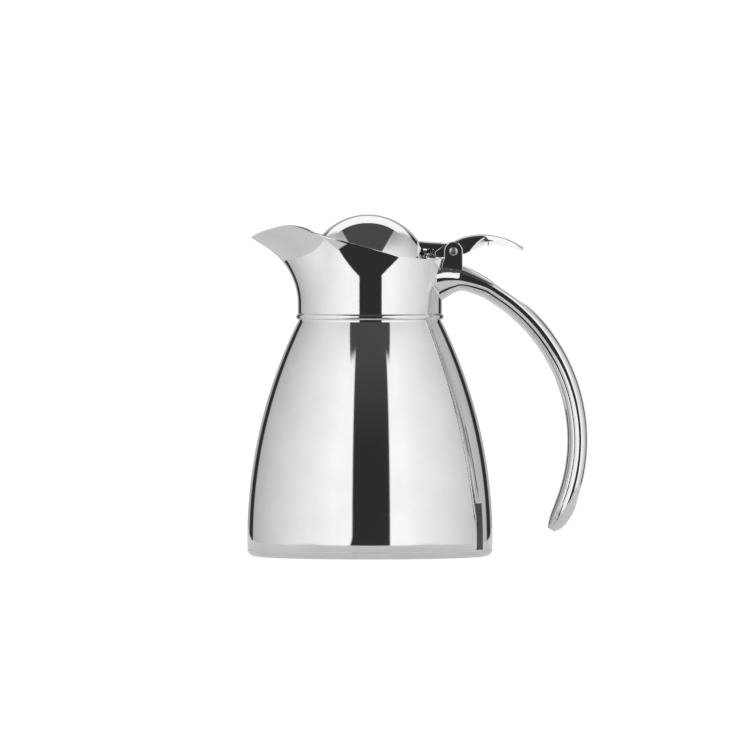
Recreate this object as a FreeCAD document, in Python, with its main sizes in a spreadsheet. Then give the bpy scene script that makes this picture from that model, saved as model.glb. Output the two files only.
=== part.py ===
import FreeCAD, Part
import math
import os
import Sketcher
from types import SimpleNamespace

# An insulated steel coffee pot: a double-walled bell, a spouted collar, a domed lid on a thumb lever
# and an open-ended hollow handle. Millimetres, +Z up, origin at the centre of the underside, the
# spout towards -X and the handle towards +X. The pot is symmetric about the XZ plane.

DIMENSIONS = [
    ("sheet", 0.8, "thickness of the steel sheet of the body, collar and handle"),
    ("body_radius", 61.3, "widest radius of the bell"),
    ("body_widest", 8.0, "height at which the bell is widest"),
    ("body_curve", 248.3, "radius of the arc down the side of the bell"),
    ("base_edge", 3.4, "height of the joint between base cover and bell"),
    ("base_flat", 57.3, "radius of the flat that the pot stands on"),
    ("base_recess", 50.0, "radius of the recess in the underside"),
    ("shoulder", 117.3, "height of the top of the bell's arc"),
    ("neck_groove", 35.6, "radius of the dark groove under the ring"),
    ("neck_radius", 34.0, "outer radius of the neck tube"),
    ("ring_bottom", 118.3, "lower face of the neck ring"),
    ("ring_top", 121.1, "upper face of the neck ring"),
    ("ring_radius", 36.9, "outer radius of the neck ring"),
    ("lip_height", 134.0, "top of the neck tube, under the lip of the inner vessel"),
    ("vacuum_gap", 6.4, "gap between the two walls"),
    ("liner", 0.6, "thickness of the inner vessel"),
    ("mouth_radius", 28.2, "radius of the mouth inside the inner vessel"),
    ("vessel_floor", 12.0, "height of the inside floor of the vessel"),
    ("vessel_round", 14.0, "radius of the round between the vessel's floor and its side"),
    ("plate_height", 8.5, "top of the vacuum closing plate"),
    ("plate_flat", 48.0, "radius of the flat of the closing plate"),
    ("plug_radius", 5.0, "radius of the sealing plug under the closing plate"),
    ("plug_depth", 1.2, "thickness of the sealing plug"),
    ("getter_radius", 6.0, "radius of the getter capsule"),
    ("getter_depth", 2.0, "thickness of the getter capsule"),
    ("getter_offset", 20.0, "distance of the getter from the axis"),
    ("collar_radius", 36.2, "outer radius of the collar where it is round"),
    ("spout_start", 126.0, "height at which the front of the collar starts to lean out"),
    ("spout_curve", 33.5, "radius of the front of the spout, seen from the side"),
    ("spout_turn", 57.0, "angle that the front of the spout turns through"),
    ("spout_slope", 33.0, "slope of the lip beyond the curve, above the horizontal"),
    ("spout_reach", 60.2, "distance from the axis to the pouring edge"),
    ("back_flare", 1.9, "how far the back of the collar leans out at its rim"),
    ("side_flare", 1.0, "how far its sides lean out at the same height"),
    ("back_start", 140.0, "height at which the collar starts to flare"),
    ("spout_half_angle", 56.0, "how far round the collar the spout reaches, on either side"),
    ("rim_tip", 159.5, "height of the rim at the pouring edge"),
    ("rim_crest", 165.4, "highest point of the rim, above the spout"),
    ("rim_crest_place", -41.0, "where that point is"),
    ("rim_lip_share", 0.72, "height of the middle of the lip's arc, as a share of its rise"),
    ("rim_brow", 0.85, "how far the rim has fallen half way from its crest to its straight side"),
    ("rim_fall", 161.9, "height of the rim where its straight side starts"),
    ("rim_fall_place", -28.5, "where that is"),
    ("rim_side", 151.7, "height of the rim where its straight side ends"),
    ("rim_side_place", 9.5, "where that is"),
    ("rim_back", 148.4, "lowest point of the rim, near the back"),
    ("rim_back_place", 32.0, "where that is"),
    ("rim_dip", 0.55, "how far the rim's last arc hangs below its chord"),
    ("rim_heel", 149.2, "height of the rim at the very back"),
    ("sleeve_groove", 127.0, "lower face of the groove for the sleeve's seal"),
    ("seal_height", 1.6, "height of the sleeve's seal"),
    ("seal_depth", 1.0, "radial depth of the sleeve's seal"),
    ("sleeve_gap", 0.15, "gap between the sleeve and the collar, filled with glue"),
    ("seat_gap", 0.03, "gap between the collar and the end of the handle that is welded to it"),
    ("hinge_x", 41.7, "place of the hinge axis"),
    ("hinge_z", 152.4, "height of the hinge axis"),
    ("pin_radius", 1.5, "radius of the hinge pin"),
    ("pin_head", 2.1, "radius of its riveted heads"),
    ("pin_head_depth", 0.6, "thickness of its riveted heads"),
    ("pin_clearance", 0.05, "radial clearance of the pin in the lever"),
    ("cheek_gap", 7.6, "distance from the middle to the inner face of a hinge cheek"),
    ("cheek_depth", 2.0, "thickness of a hinge cheek"),
    ("cheek_radius", 4.65, "radius of the rounded top of a cheek"),
    ("cheek_front", 35.5, "where a cheek meets the collar, low down"),
    ("cheek_foot", 136.0, "height of the foot of a cheek before it is fitted to the handle"),
    ("lid_radius", 30.75, "outer radius of the domed lid"),
    ("lid_shift", -1.0, "how far the lid stands in front of the body's axis"),
    ("lid_centre", 140.0, "height of the centre of the dome"),
    ("lid_rim", 137.4, "height of the lower edge of the dome"),
    ("lid_sheet", 0.7, "thickness of the dome"),
    ("pan_floor", 131.5, "underside of the lid's plug"),
    ("plug_mouth", 22.5, "radius of the plug at its underside"),
    ("gasket_inner", 25.8, "inner radius of the lid gasket"),
    ("gasket_outer", 30.4, "outer radius of the lid gasket"),
    ("gasket_lift", 0.15, "gap between the gasket and the lip when the lid is shut"),
    ("gasket_depth", 1.3, "thickness of the lid gasket"),
    ("foam_radius", 25.5, "radius of the foam in the dome"),
    ("lever_half_width", 7.3, "half the width of the lever between the cheeks"),
    ("thumb_half_width", 10.3, "half the width of the thumb pad"),
    ("lever_sheet", 1.2, "thickness of the lever"),
    ("lever_nose", 24.55, "where the nose of the lever meets the dome"),
    ("lever_top", 157.1, "height of the top of the lever in front of the hinge"),
    ("thumb_crest", 160.8, "highest point of the thumb pad"),
    ("thumb_crest_place", 56.5, "where that is"),
    ("thumb_tip", 76.5, "rear end of the thumb pad"),
    ("thumb_tip_height", 154.0, "height of that end"),
    ("plate_front", 31.1, "front face of the lever's turned-down plate"),
    ("plate_foot", 148.6, "lower edge of the turned-down plate"),
    ("screw_height", 151.4, "height of the lid screw"),
    ("screw_radius", 1.5, "radius of the lid screw's shank"),
    ("screw_head", 2.7, "radius of its head"),
    ("handle_centre_x", 17.5, "centre of the arc of the handle"),
    ("handle_centre_z", 58.0, "height of that centre"),
    ("handle_seam", 85.2, "radius of the seam between the handle's two shells"),
    ("handle_half_width", 11.0, "half the width of the grip"),
    ("handle_outer_rise", 6.0, "how far the outer shell stands out from the seam"),
    ("handle_inner_rise", 4.0, "how far the inner shell stands out from the seam"),
    ("scoop_depth", 2.4, "depth of the hollow that the thumb pad drops into"),
    ("scoop_angle", 55.0, "where on the handle's arc that hollow is deepest, above the horizontal"),
    ("scoop_spread", 5.5, "how far along the arc, in degrees, it spreads"),
    ("root_half_width", 13.4, "half the width of the handle at its root"),
]


def make_sheet(doc):
    sheet = doc.addObject("Spreadsheet::Sheet", "dims")
    for row, (alias, value, note) in enumerate(DIMENSIONS, start=1):
        sheet.set(f"A{row}", note)
        sheet.set(f"B{row}", str(value))
        sheet.setAlias(f"B{row}", alias)
    doc.recompute()
    return sheet


def read_sizes(sheet):
    """The sheet's values by name, for the one shape that Part builds directly."""
    return SimpleNamespace(**{alias: float(sheet.get(alias)) for alias, value, note in DIMENSIONS})


# ---- sketches and features -------------------------------------------------------------------

def new_body(doc, name):
    body = doc.addObject("PartDesign::Body", name)
    body.Label = name
    return body


def origin_plane(body, role):
    return [item for item in body.Origin.OriginFeatures if item.Role == role][0]


def new_sketch(body, name, role):
    sketch = body.newObject("Sketcher::SketchObject", name)
    sketch.AttachmentSupport = [(origin_plane(body, role), "")]
    sketch.MapMode = "FlatFace"
    return sketch


def fix_coordinate(sketch, kind, point, formula):
    number = sketch.addConstraint(Sketcher.Constraint(kind, -1, 1, point, 1, 0.0))
    if formula != "0":
        sketch.setExpression(f"Constraints[{number}]", formula)


def add_point(sketch, across, up):
    """A construction point held by two bound dimensions from the sketch's origin."""
    start = FreeCAD.Vector(1.0 + sketch.GeometryCount, 1.0, 0.0)
    point = sketch.addGeometry(Part.Point(start), True)
    fix_coordinate(sketch, "DistanceX", point, across)
    fix_coordinate(sketch, "DistanceY", point, up)
    return point


def place_of(sketch, point):
    spot = sketch.Geometry[point]
    return FreeCAD.Vector(spot.X, spot.Y, 0.0)


def add_line(sketch, first, last):
    line = sketch.addGeometry(Part.LineSegment(place_of(sketch, first), place_of(sketch, last)), False)
    sketch.addConstraint(Sketcher.Constraint("Coincident", line, 1, first, 1))
    sketch.addConstraint(Sketcher.Constraint("Coincident", line, 2, last, 1))


def add_arc(sketch, first, middle, last):
    start = place_of(sketch, first)
    arc = sketch.addGeometry(Part.Arc(start, place_of(sketch, middle), place_of(sketch, last)), False)
    begins_at_start = (sketch.getPoint(arc, 1) - start).Length < (sketch.getPoint(arc, 2) - start).Length
    ends = (first, last) if begins_at_start else (last, first)
    sketch.addConstraint(Sketcher.Constraint("Coincident", arc, 1, ends[0], 1))
    sketch.addConstraint(Sketcher.Constraint("Coincident", arc, 2, ends[1], 1))
    sketch.addConstraint(Sketcher.Constraint("PointOnObject", middle, 1, arc))


def draw_loop(sketch, corners):
    """A closed loop. A corner is (across, up); one marked "via" is the middle of an arc."""
    points = [add_point(sketch, corner[0], corner[1]) for corner in corners]
    sketch.Document.recompute()
    count = len(corners)
    for index, corner in enumerate(corners):
        following = (index + 1) % count
        if "via" in corner:
            add_arc(sketch, points[index - 1], points[index], points[following])
        elif "via" not in corners[following]:
            add_line(sketch, points[index], points[following])


def revolve(body, name, corners, groove=False):
    sketch = new_sketch(body, name + "_profile", "XZ_Plane")
    draw_loop(sketch, corners)
    feature = body.newObject("PartDesign::Groove" if groove else "PartDesign::Revolution", name)
    feature.Profile = sketch
    feature.ReferenceAxis = (sketch, ["V_Axis"])
    feature.Angle = 360.0
    return feature


def extrude(body, name, kind, role, corners, length, symmetric=True, offset=None):
    sketch = new_sketch(body, name + "_outline", role)
    if offset:
        sketch.setExpression("AttachmentOffset.Base.z", offset)
    draw_loop(sketch, corners)
    feature = body.newObject("PartDesign::" + kind, name)
    feature.Profile = sketch
    feature.Midplane = symmetric
    feature.setExpression("Length", length)
    return feature


def bore(body, name, role, across, up, radius, length):
    """A round hole through the body, square to the named plane and as long as it needs both ways."""
    sketch = new_sketch(body, name + "_circle", role)
    circle = Part.Circle(FreeCAD.Vector(1, 1, 0), FreeCAD.Vector(0, 0, 1), 1.0)
    edge = sketch.addGeometry(circle, False)
    number = sketch.addConstraint(Sketcher.Constraint("Radius", edge, 1.0))
    sketch.setExpression(f"Constraints[{number}]", radius)
    for kind, formula in (("DistanceX", across), ("DistanceY", up)):
        number = sketch.addConstraint(Sketcher.Constraint(kind, -1, 1, edge, 3, 0.0))
        if formula != "0":
            sketch.setExpression(f"Constraints[{number}]", formula)
    feature = body.newObject("PartDesign::Pocket", name)
    feature.Profile = sketch
    feature.Midplane = True
    feature.setExpression("Length", length)
    return feature


# ---- the bell ----------------------------------------------------------------------------------

def bell(height, inset="0"):
    """Radius of the bell's outer surface at a height, less an inset."""
    across = f"dims.body_radius - dims.body_curve - ({inset})"
    return f"{across} + sqrt(dims.body_curve^2 - ({height} - dims.body_widest)^2)"


MIDDLE = "(dims.base_edge + dims.shoulder) / 2"


def outer_shell(doc):
    body = new_body(doc, "outer_shell")
    inner_top = "dims.shoulder - dims.sheet"
    revolve(body, "bell_wall", [
        (bell("dims.base_edge"), "dims.base_edge"),
        (bell(MIDDLE), MIDDLE, "via"),
        (bell("dims.shoulder"), "dims.shoulder"),
        ("dims.neck_groove", "dims.shoulder"),
        ("dims.neck_groove", "dims.ring_bottom"),
        ("dims.neck_radius", "dims.ring_bottom"),
        ("dims.neck_radius", "dims.lip_height"),
        ("dims.neck_radius - dims.sheet", "dims.lip_height"),
        ("dims.neck_radius - dims.sheet", inner_top),
        (bell(inner_top, "dims.sheet"), inner_top),
        (bell(MIDDLE, "dims.sheet"), MIDDLE, "via"),
        (bell("dims.base_edge", "dims.sheet"), "dims.base_edge"),
    ])
    return body


def base_cover(doc):
    body = new_body(doc, "base_cover")
    edge = bell("dims.base_edge")
    # the round between the side and the flat is a quarter arc, a little flattened
    bend_x = f"dims.base_flat + ({edge} - dims.base_flat) * sin(45)"
    bend_z = "dims.base_edge * (1 - cos(45))"
    revolve(body, "base_pan", [
        (edge, "dims.base_edge"),
        (bend_x, bend_z, "via"),
        ("dims.base_flat", "0"),
        ("dims.base_recess", "0"),
        ("dims.base_recess - dims.sheet", "dims.sheet"),
        ("0", "dims.sheet"),
        ("0", "2 * dims.sheet"),
        ("dims.base_recess", "2 * dims.sheet"),
        ("dims.base_recess + dims.sheet", "dims.sheet"),
        ("dims.base_flat", "dims.sheet"),
        (f"{bend_x} - dims.sheet * 0.7", f"{bend_z} + dims.sheet * 0.7", "via"),
        (f"{edge} - dims.sheet", "dims.base_edge"),
    ])
    return body


def closing_plate(doc):
    """The plate that closes the vacuum space, welded inside the foot of the bell."""
    body = new_body(doc, "vacuum_closing_plate")
    wall = "dims.sheet + 0.02"
    revolve(body, "closing_disc", [
        ("0", "dims.plate_height"),
        ("dims.plate_flat", "dims.plate_height"),
        ("dims.plate_flat + 6", "dims.base_edge + dims.sheet"),
        (bell("dims.base_edge", wall), "dims.base_edge + dims.sheet"),
        (bell("dims.base_edge", wall), "dims.base_edge"),
        ("dims.plate_flat + 5.4", "dims.base_edge"),
        ("dims.plate_flat - 0.6", "dims.plate_height - dims.sheet"),
        ("0", "dims.plate_height - dims.sheet"),
    ])
    return body


def disc(doc, name, radius, depth, across, up):
    """A plain round disc; its lower face is at the given height."""
    round_disc = doc.addObject("Part::Cylinder", name)
    round_disc.Label = name
    round_disc.setExpression("Radius", radius)
    round_disc.setExpression("Height", depth)
    round_disc.setExpression("Placement.Base.x", across)
    round_disc.setExpression("Placement.Base.z", up)
    return round_disc


VESSEL_WALL = "dims.sheet + dims.vacuum_gap"
VESSEL_INSIDE = VESSEL_WALL + " + dims.liner"
VESSEL_SEAM = "(dims.vessel_floor + dims.vessel_round)"


def vessel_base(doc):
    """The dished base of the inner vessel, up to the seam where its round ends."""
    body = new_body(doc, "inner_vessel_base")
    low = VESSEL_SEAM
    round_out = "dims.vessel_round + dims.liner"
    corner = f"({bell(low, VESSEL_WALL)} - ({round_out}))"
    revolve(body, "dished_base", [
        ("0", "dims.vessel_floor - dims.liner"),
        (corner, "dims.vessel_floor - dims.liner"),
        (f"{corner} + ({round_out}) * sin(45)", f"{low} - ({round_out}) * cos(45)", "via"),
        (bell(low, VESSEL_WALL), low),
        (bell(low, VESSEL_INSIDE), low),
        (f"{corner} + dims.vessel_round * sin(45)", f"{low} - dims.vessel_round * cos(45)", "via"),
        (corner, "dims.vessel_floor"),
        ("0", "dims.vessel_floor"),
    ])
    return body


def vessel_wall(doc):
    """The side of the inner vessel, from its base up to the shoulder."""
    body = new_body(doc, "inner_vessel_wall")
    half = f"({VESSEL_SEAM} + dims.shoulder) / 2"
    revolve(body, "bell_wall", [
        (bell(VESSEL_SEAM, VESSEL_INSIDE), VESSEL_SEAM),
        (bell(VESSEL_SEAM, VESSEL_WALL), VESSEL_SEAM),
        (bell(half, VESSEL_WALL), half, "via"),
        ("dims.mouth_radius + dims.liner", "dims.shoulder"),
        ("dims.mouth_radius", "dims.shoulder"),
        (bell(half, VESSEL_INSIDE), half, "via"),
    ])
    return body


def vessel_neck(doc):
    """The straight neck of the inner vessel, with the lip that closes the gap between the walls."""
    body = new_body(doc, "inner_vessel_neck")
    outside = "dims.mouth_radius + dims.liner"
    lip_top = "dims.lip_height + dims.sheet"
    revolve(body, "lipped_neck", [
        ("dims.mouth_radius", "dims.shoulder"),
        (outside, "dims.shoulder"),
        (outside, "dims.lip_height"),
        ("dims.neck_radius", "dims.lip_height"),
        ("dims.neck_radius", lip_top),
        ("dims.mouth_radius", lip_top),
    ])
    return body


# ---- neck and collar ---------------------------------------------------------------------------

def neck_ring(doc):
    body = new_body(doc, "neck_ring")
    shoulder = "dims.ring_radius - 1.0"
    revolve(body, "ring_bead", [
        ("dims.neck_radius", "dims.ring_bottom"),
        (shoulder, "dims.ring_bottom"),
        ("dims.ring_radius", "(dims.ring_bottom + dims.ring_top) / 2", "via"),
        (shoulder, "dims.ring_top"),
        ("dims.neck_radius", "dims.ring_top"),
    ])
    return body


def neck_sleeve(doc):
    """The plastic sleeve that the collar is glued over, with a groove inside for its seal."""
    body = new_body(doc, "neck_sleeve")
    outside = "dims.collar_radius - dims.sheet - dims.sleeve_gap"
    top = "dims.sleeve_groove + dims.seal_height"
    depth = "dims.neck_radius + dims.seal_depth"
    revolve(body, "sleeve_wall", [
        ("dims.neck_radius", "dims.ring_top"),
        (outside, "dims.ring_top"),
        (outside, "dims.lip_height + dims.sheet"),
        ("dims.neck_radius", "dims.lip_height + dims.sheet"),
        ("dims.neck_radius", top),
        (depth, top),
        (depth, "dims.sleeve_groove"),
        ("dims.neck_radius", "dims.sleeve_groove"),
    ])
    return body


def sleeve_seal(doc):
    body = new_body(doc, "sleeve_seal")
    top = "dims.sleeve_groove + dims.seal_height"
    depth = "dims.neck_radius + dims.seal_depth"
    revolve(body, "seal_ring", [
        ("dims.neck_radius", "dims.sleeve_groove"),
        (depth, "dims.sleeve_groove"),
        (depth, top),
        ("dims.neck_radius", top),
    ])
    return body


SPOUT_STEPS = 8
SECTION_POINTS = 40


def front_reach(size, height):
    """Distance from the axis to the front of the collar: upright, then the spout's arc, then its lip."""
    rise = max(0.0, height - size.spout_start)
    turn = math.radians(size.spout_turn)
    arc_rise = size.spout_curve * math.sin(turn)
    if rise < arc_rise:
        return size.collar_radius + size.spout_curve - math.sqrt(size.spout_curve**2 - rise**2)
    arc_reach = size.collar_radius + size.spout_curve * (1 - math.cos(turn))
    return arc_reach + (rise - arc_rise) / math.tan(math.radians(size.spout_slope))


def wall_reach(size, turn, height):
    """Distance from the axis to the collar's wall. turn is 0 at the spout and pi at the back. The
    wall flares all round towards its rim, most at the back, and the spout is drawn out of the front."""
    share = max(0.0, height - size.back_start) / (size.rim_heel - size.back_start)
    back = max(0.0, -math.cos(turn)) ** 2
    flare = size.side_flare + (size.back_flare - size.side_flare) * back
    around = size.collar_radius + flare * share**2
    away = abs(math.remainder(turn, 2 * math.pi)) / math.radians(size.spout_half_angle)
    if away >= 1:
        return around
    return around + (front_reach(size, height) - around) * math.cos(away * math.pi / 2) ** 2


def collar_section(size, height, inset):
    """A level closed curve through points of the wall, set in by the thickness of the sheet."""
    points = []
    for step in range(SECTION_POINTS):
        turn = 2 * math.pi * step / SECTION_POINTS
        reach = wall_reach(size, turn, height) - inset
        points.append(FreeCAD.Vector(-reach * math.cos(turn), reach * math.sin(turn), height))
    curve = Part.BSplineCurve()
    curve.interpolate(Points=points, PeriodicFlag=True)
    return Part.Wire([curve.toShape()])


def collar_loft(size, inset):
    beyond = 2 * inset
    top = size.rim_crest + 3 + beyond
    heights = [size.ring_top - beyond, (size.ring_top + size.spout_start) / 2]
    for step in range(SPOUT_STEPS + 1):
        heights.append(size.spout_start + (top - size.spout_start) * step / SPOUT_STEPS)
    return Part.makeLoft([collar_section(size, height, inset) for height in heights], True)


def rim_form(doc):
    """Everything below the rim line, seen from the side."""
    body = new_body(doc, "rim_form")
    lip_middle = "dims.rim_tip + (dims.rim_crest - dims.rim_tip) * dims.rim_lip_share"
    dip_middle = "(dims.rim_side + dims.rim_back) / 2 - dims.rim_dip"
    heel = "dims.collar_radius + 2 * dims.back_flare"
    floor = "dims.ring_top - 5"
    extrude(body, "below_rim", "Pad", "XZ_Plane", [
        ("0 - dims.spout_reach", floor),
        ("0 - dims.spout_reach", "dims.rim_tip"),
        ("(dims.rim_crest_place - dims.spout_reach) / 2", lip_middle, "via"),
        ("dims.rim_crest_place", "dims.rim_crest"),
        ("(dims.rim_crest_place + dims.rim_fall_place) / 2", "dims.rim_crest - dims.rim_brow", "via"),
        ("dims.rim_fall_place", "dims.rim_fall"),
        ("dims.rim_side_place", "dims.rim_side"),
        ("(dims.rim_side_place + dims.rim_back_place) / 2", dip_middle, "via"),
        ("dims.rim_back_place", "dims.rim_back"),
        (heel, "dims.rim_heel"),
        (heel, floor),
    ], "4 * dims.body_radius")
    return body


def pouring_collar(doc, size):
    # level curves whose shape changes with height fit no sketched feature, so Part lofts the wall
    wall = doc.addObject("Part::Feature", "collar_wall")
    wall.Shape = collar_loft(size, 0.0).cut(collar_loft(size, size.sheet))
    collar = doc.addObject("Part::Common", "pouring_collar")
    collar.Label = "pouring_collar"
    collar.Base = wall
    collar.Tool = rim_form(doc)
    return collar


# ---- handle ------------------------------------------------------------------------------------

def grip_station(angle, width="1", inner="1", outer="1"):
    """A section of the grip, square to its arc; its width and rises are shares of the full section."""
    scoop = f"dims.scoop_depth * exp(0 - (({angle} - dims.scoop_angle) / dims.scoop_spread)^2)"
    return {
        "x": f"dims.handle_centre_x + dims.handle_seam * cos({angle})",
        "z": f"dims.handle_centre_z + dims.handle_seam * sin({angle})",
        "lean": f"90 - ({angle})",
        "half_width": f"dims.handle_half_width * {width}",
        "outer_rise": f"(dims.handle_outer_rise * {outer} - {scoop})",
        "inner_rise": f"dims.handle_inner_rise * {inner}",
    }


def root_station(x, z, width, outer, inner):
    """An upright section of the root, where the handle runs out from the collar."""
    return {
        "x": x,
        "z": z,
        "lean": "0",
        "half_width": f"dims.root_half_width * {width}",
        "outer_rise": outer,
        "inner_rise": inner,
    }


def handle_stations():
    # the root is leaf-shaped, the grip is even, and the tip is rounded like a spoon
    stations = [
        root_station("dims.collar_radius - 4.2", "130.6", "1.0", "14.8", "6.4"),
        root_station("dims.collar_radius + 1", "133.7", "0.96", "12.0", "5.0"),
        root_station("dims.collar_radius + 6", "135.4", "0.91", "9.9", "3.6"),
        root_station("dims.collar_radius + 11", "135.9", "0.86", "8.9", "3.3"),
    ]
    first_angle = 62
    last_angle = -18
    spacing = 5
    for angle in range(first_angle, last_angle - 1, -spacing):
        stations.append(grip_station(f"{angle}"))
    stations.append(grip_station("-22.5", "0.96", "0.98", "1.08"))
    stations.append(grip_station("-26.5", "0.83", "0.88", "0.98"))
    stations.append(grip_station("-29.5", "0.62", "0.65", "0.75"))
    stations.append(grip_station("-31.5", "0.34", "0.36", "0.4"))
    return stations


def handle_section(body, name, station, side, inset):
    """A D shape: an arc that stands out from the seam, closed along the seam."""
    sketch = new_sketch(body, name, "YZ_Plane")
    # any tilt about X will do here: its angle is driven by the lean below
    tilt = FreeCAD.Rotation(FreeCAD.Vector(1, 0, 0), 5)
    sketch.AttachmentOffset = FreeCAD.Placement(FreeCAD.Vector(), tilt)
    sketch.setExpression("AttachmentOffset.Base.y", station["z"])
    sketch.setExpression("AttachmentOffset.Base.z", station["x"])
    if station["lean"] == "0":
        sketch.AttachmentOffset = FreeCAD.Placement()
    else:
        sketch.setExpression("AttachmentOffset.Rotation.Angle", station["lean"])
    half = f"({station['half_width']} - {inset})"
    rise = f"({station['outer_rise' if side > 0 else 'inner_rise']} - {inset})"
    bulge = [(half, "0"), ("0", f"{side} * {rise}", "via"), (f"-{half}", "0")]
    if inset != "0":
        overlap = f"{-side} * dims.sheet"
        bulge = bulge + [(f"-{half}", overlap), (half, overlap)]
    draw_loop(sketch, bulge)
    return sketch


def handle_loft(body, kind, name, stations, side, inset):
    sections = []
    for number, station in enumerate(stations):
        sections.append(handle_section(body, f"{name}_section_{number}", station, side, inset))
    loft = body.newObject(kind, name)
    loft.Profile = sections[0]
    loft.Sections = sections[1:]
    return loft


def handle_shell(doc, name, side):
    body = new_body(doc, name)
    stations = handle_stations()
    handle_loft(body, "PartDesign::AdditiveLoft", name + "_form", stations, side, "0")
    handle_loft(body, "PartDesign::SubtractiveLoft", name + "_hollow", stations[:-1], side, "dims.sheet")
    # the end that meets the collar is cut to the collar's shape
    seat = "dims.collar_radius + dims.seat_gap"
    revolve(body, name + "_seat", [
        ("0", "dims.shoulder"),
        (seat, "dims.shoulder"),
        (seat, "dims.back_start + 0.5"),
        (f"{seat} + dims.back_flare * 0.4", "dims.rim_heel - 3.5"),
        (f"{seat} + dims.back_flare", "dims.rim_heel"),
        ("0", "dims.rim_heel"),
    ], groove=True)
    return body


# ---- hinge -------------------------------------------------------------------------------------

def hinge_cheek(doc, name, side, handle_form):
    body = new_body(doc, name + "_blank")
    rear = "dims.hinge_x + dims.cheek_radius"
    front = "dims.hinge_x - dims.cheek_radius"
    middle = f"{side} * (dims.cheek_gap + dims.cheek_depth / 2)"
    extrude(body, name + "_plate", "Pad", "XZ_Plane", [
        (rear, "dims.cheek_foot"),
        (rear, "dims.hinge_z"),
        ("dims.hinge_x", "dims.hinge_z + dims.cheek_radius", "via"),
        (front, "dims.hinge_z"),
        (front, "dims.rim_heel - 0.2"),
        ("dims.cheek_front", "dims.back_start + 1.5"),
        ("dims.cheek_front", "dims.cheek_foot"),
    ], "dims.cheek_depth", offset=middle)
    bore(body, name + "_bore", "XZ_Plane", "dims.hinge_x", "dims.hinge_z", "dims.pin_radius",
         "4 * dims.cheek_gap")
    cheek = doc.addObject("Part::Cut", name)
    cheek.Label = name
    cheek.Base = body
    cheek.Tool = handle_form
    return cheek


def hinge_pin(doc):
    body = new_body(doc, "hinge_pin")
    face = "(dims.cheek_gap + dims.cheek_depth)"
    end = f"({face} + dims.pin_head_depth)"
    sketch = new_sketch(body, "pin_profile", "XY_Plane")
    draw_loop(sketch, [
        ("0", f"-{end}"),
        ("dims.pin_head", f"-{end}"),
        ("dims.pin_head", f"-{face}"),
        ("dims.pin_radius", f"-{face}"),
        ("dims.pin_radius", face),
        ("dims.pin_head", face),
        ("dims.pin_head", end),
        ("0", end),
    ])
    pin = body.newObject("PartDesign::Revolution", "pin")
    pin.Profile = sketch
    pin.ReferenceAxis = (sketch, ["V_Axis"])
    pin.Angle = 360.0
    body.setExpression("Placement.Base.x", "dims.hinge_x")
    body.setExpression("Placement.Base.z", "dims.hinge_z")
    return body


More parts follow.
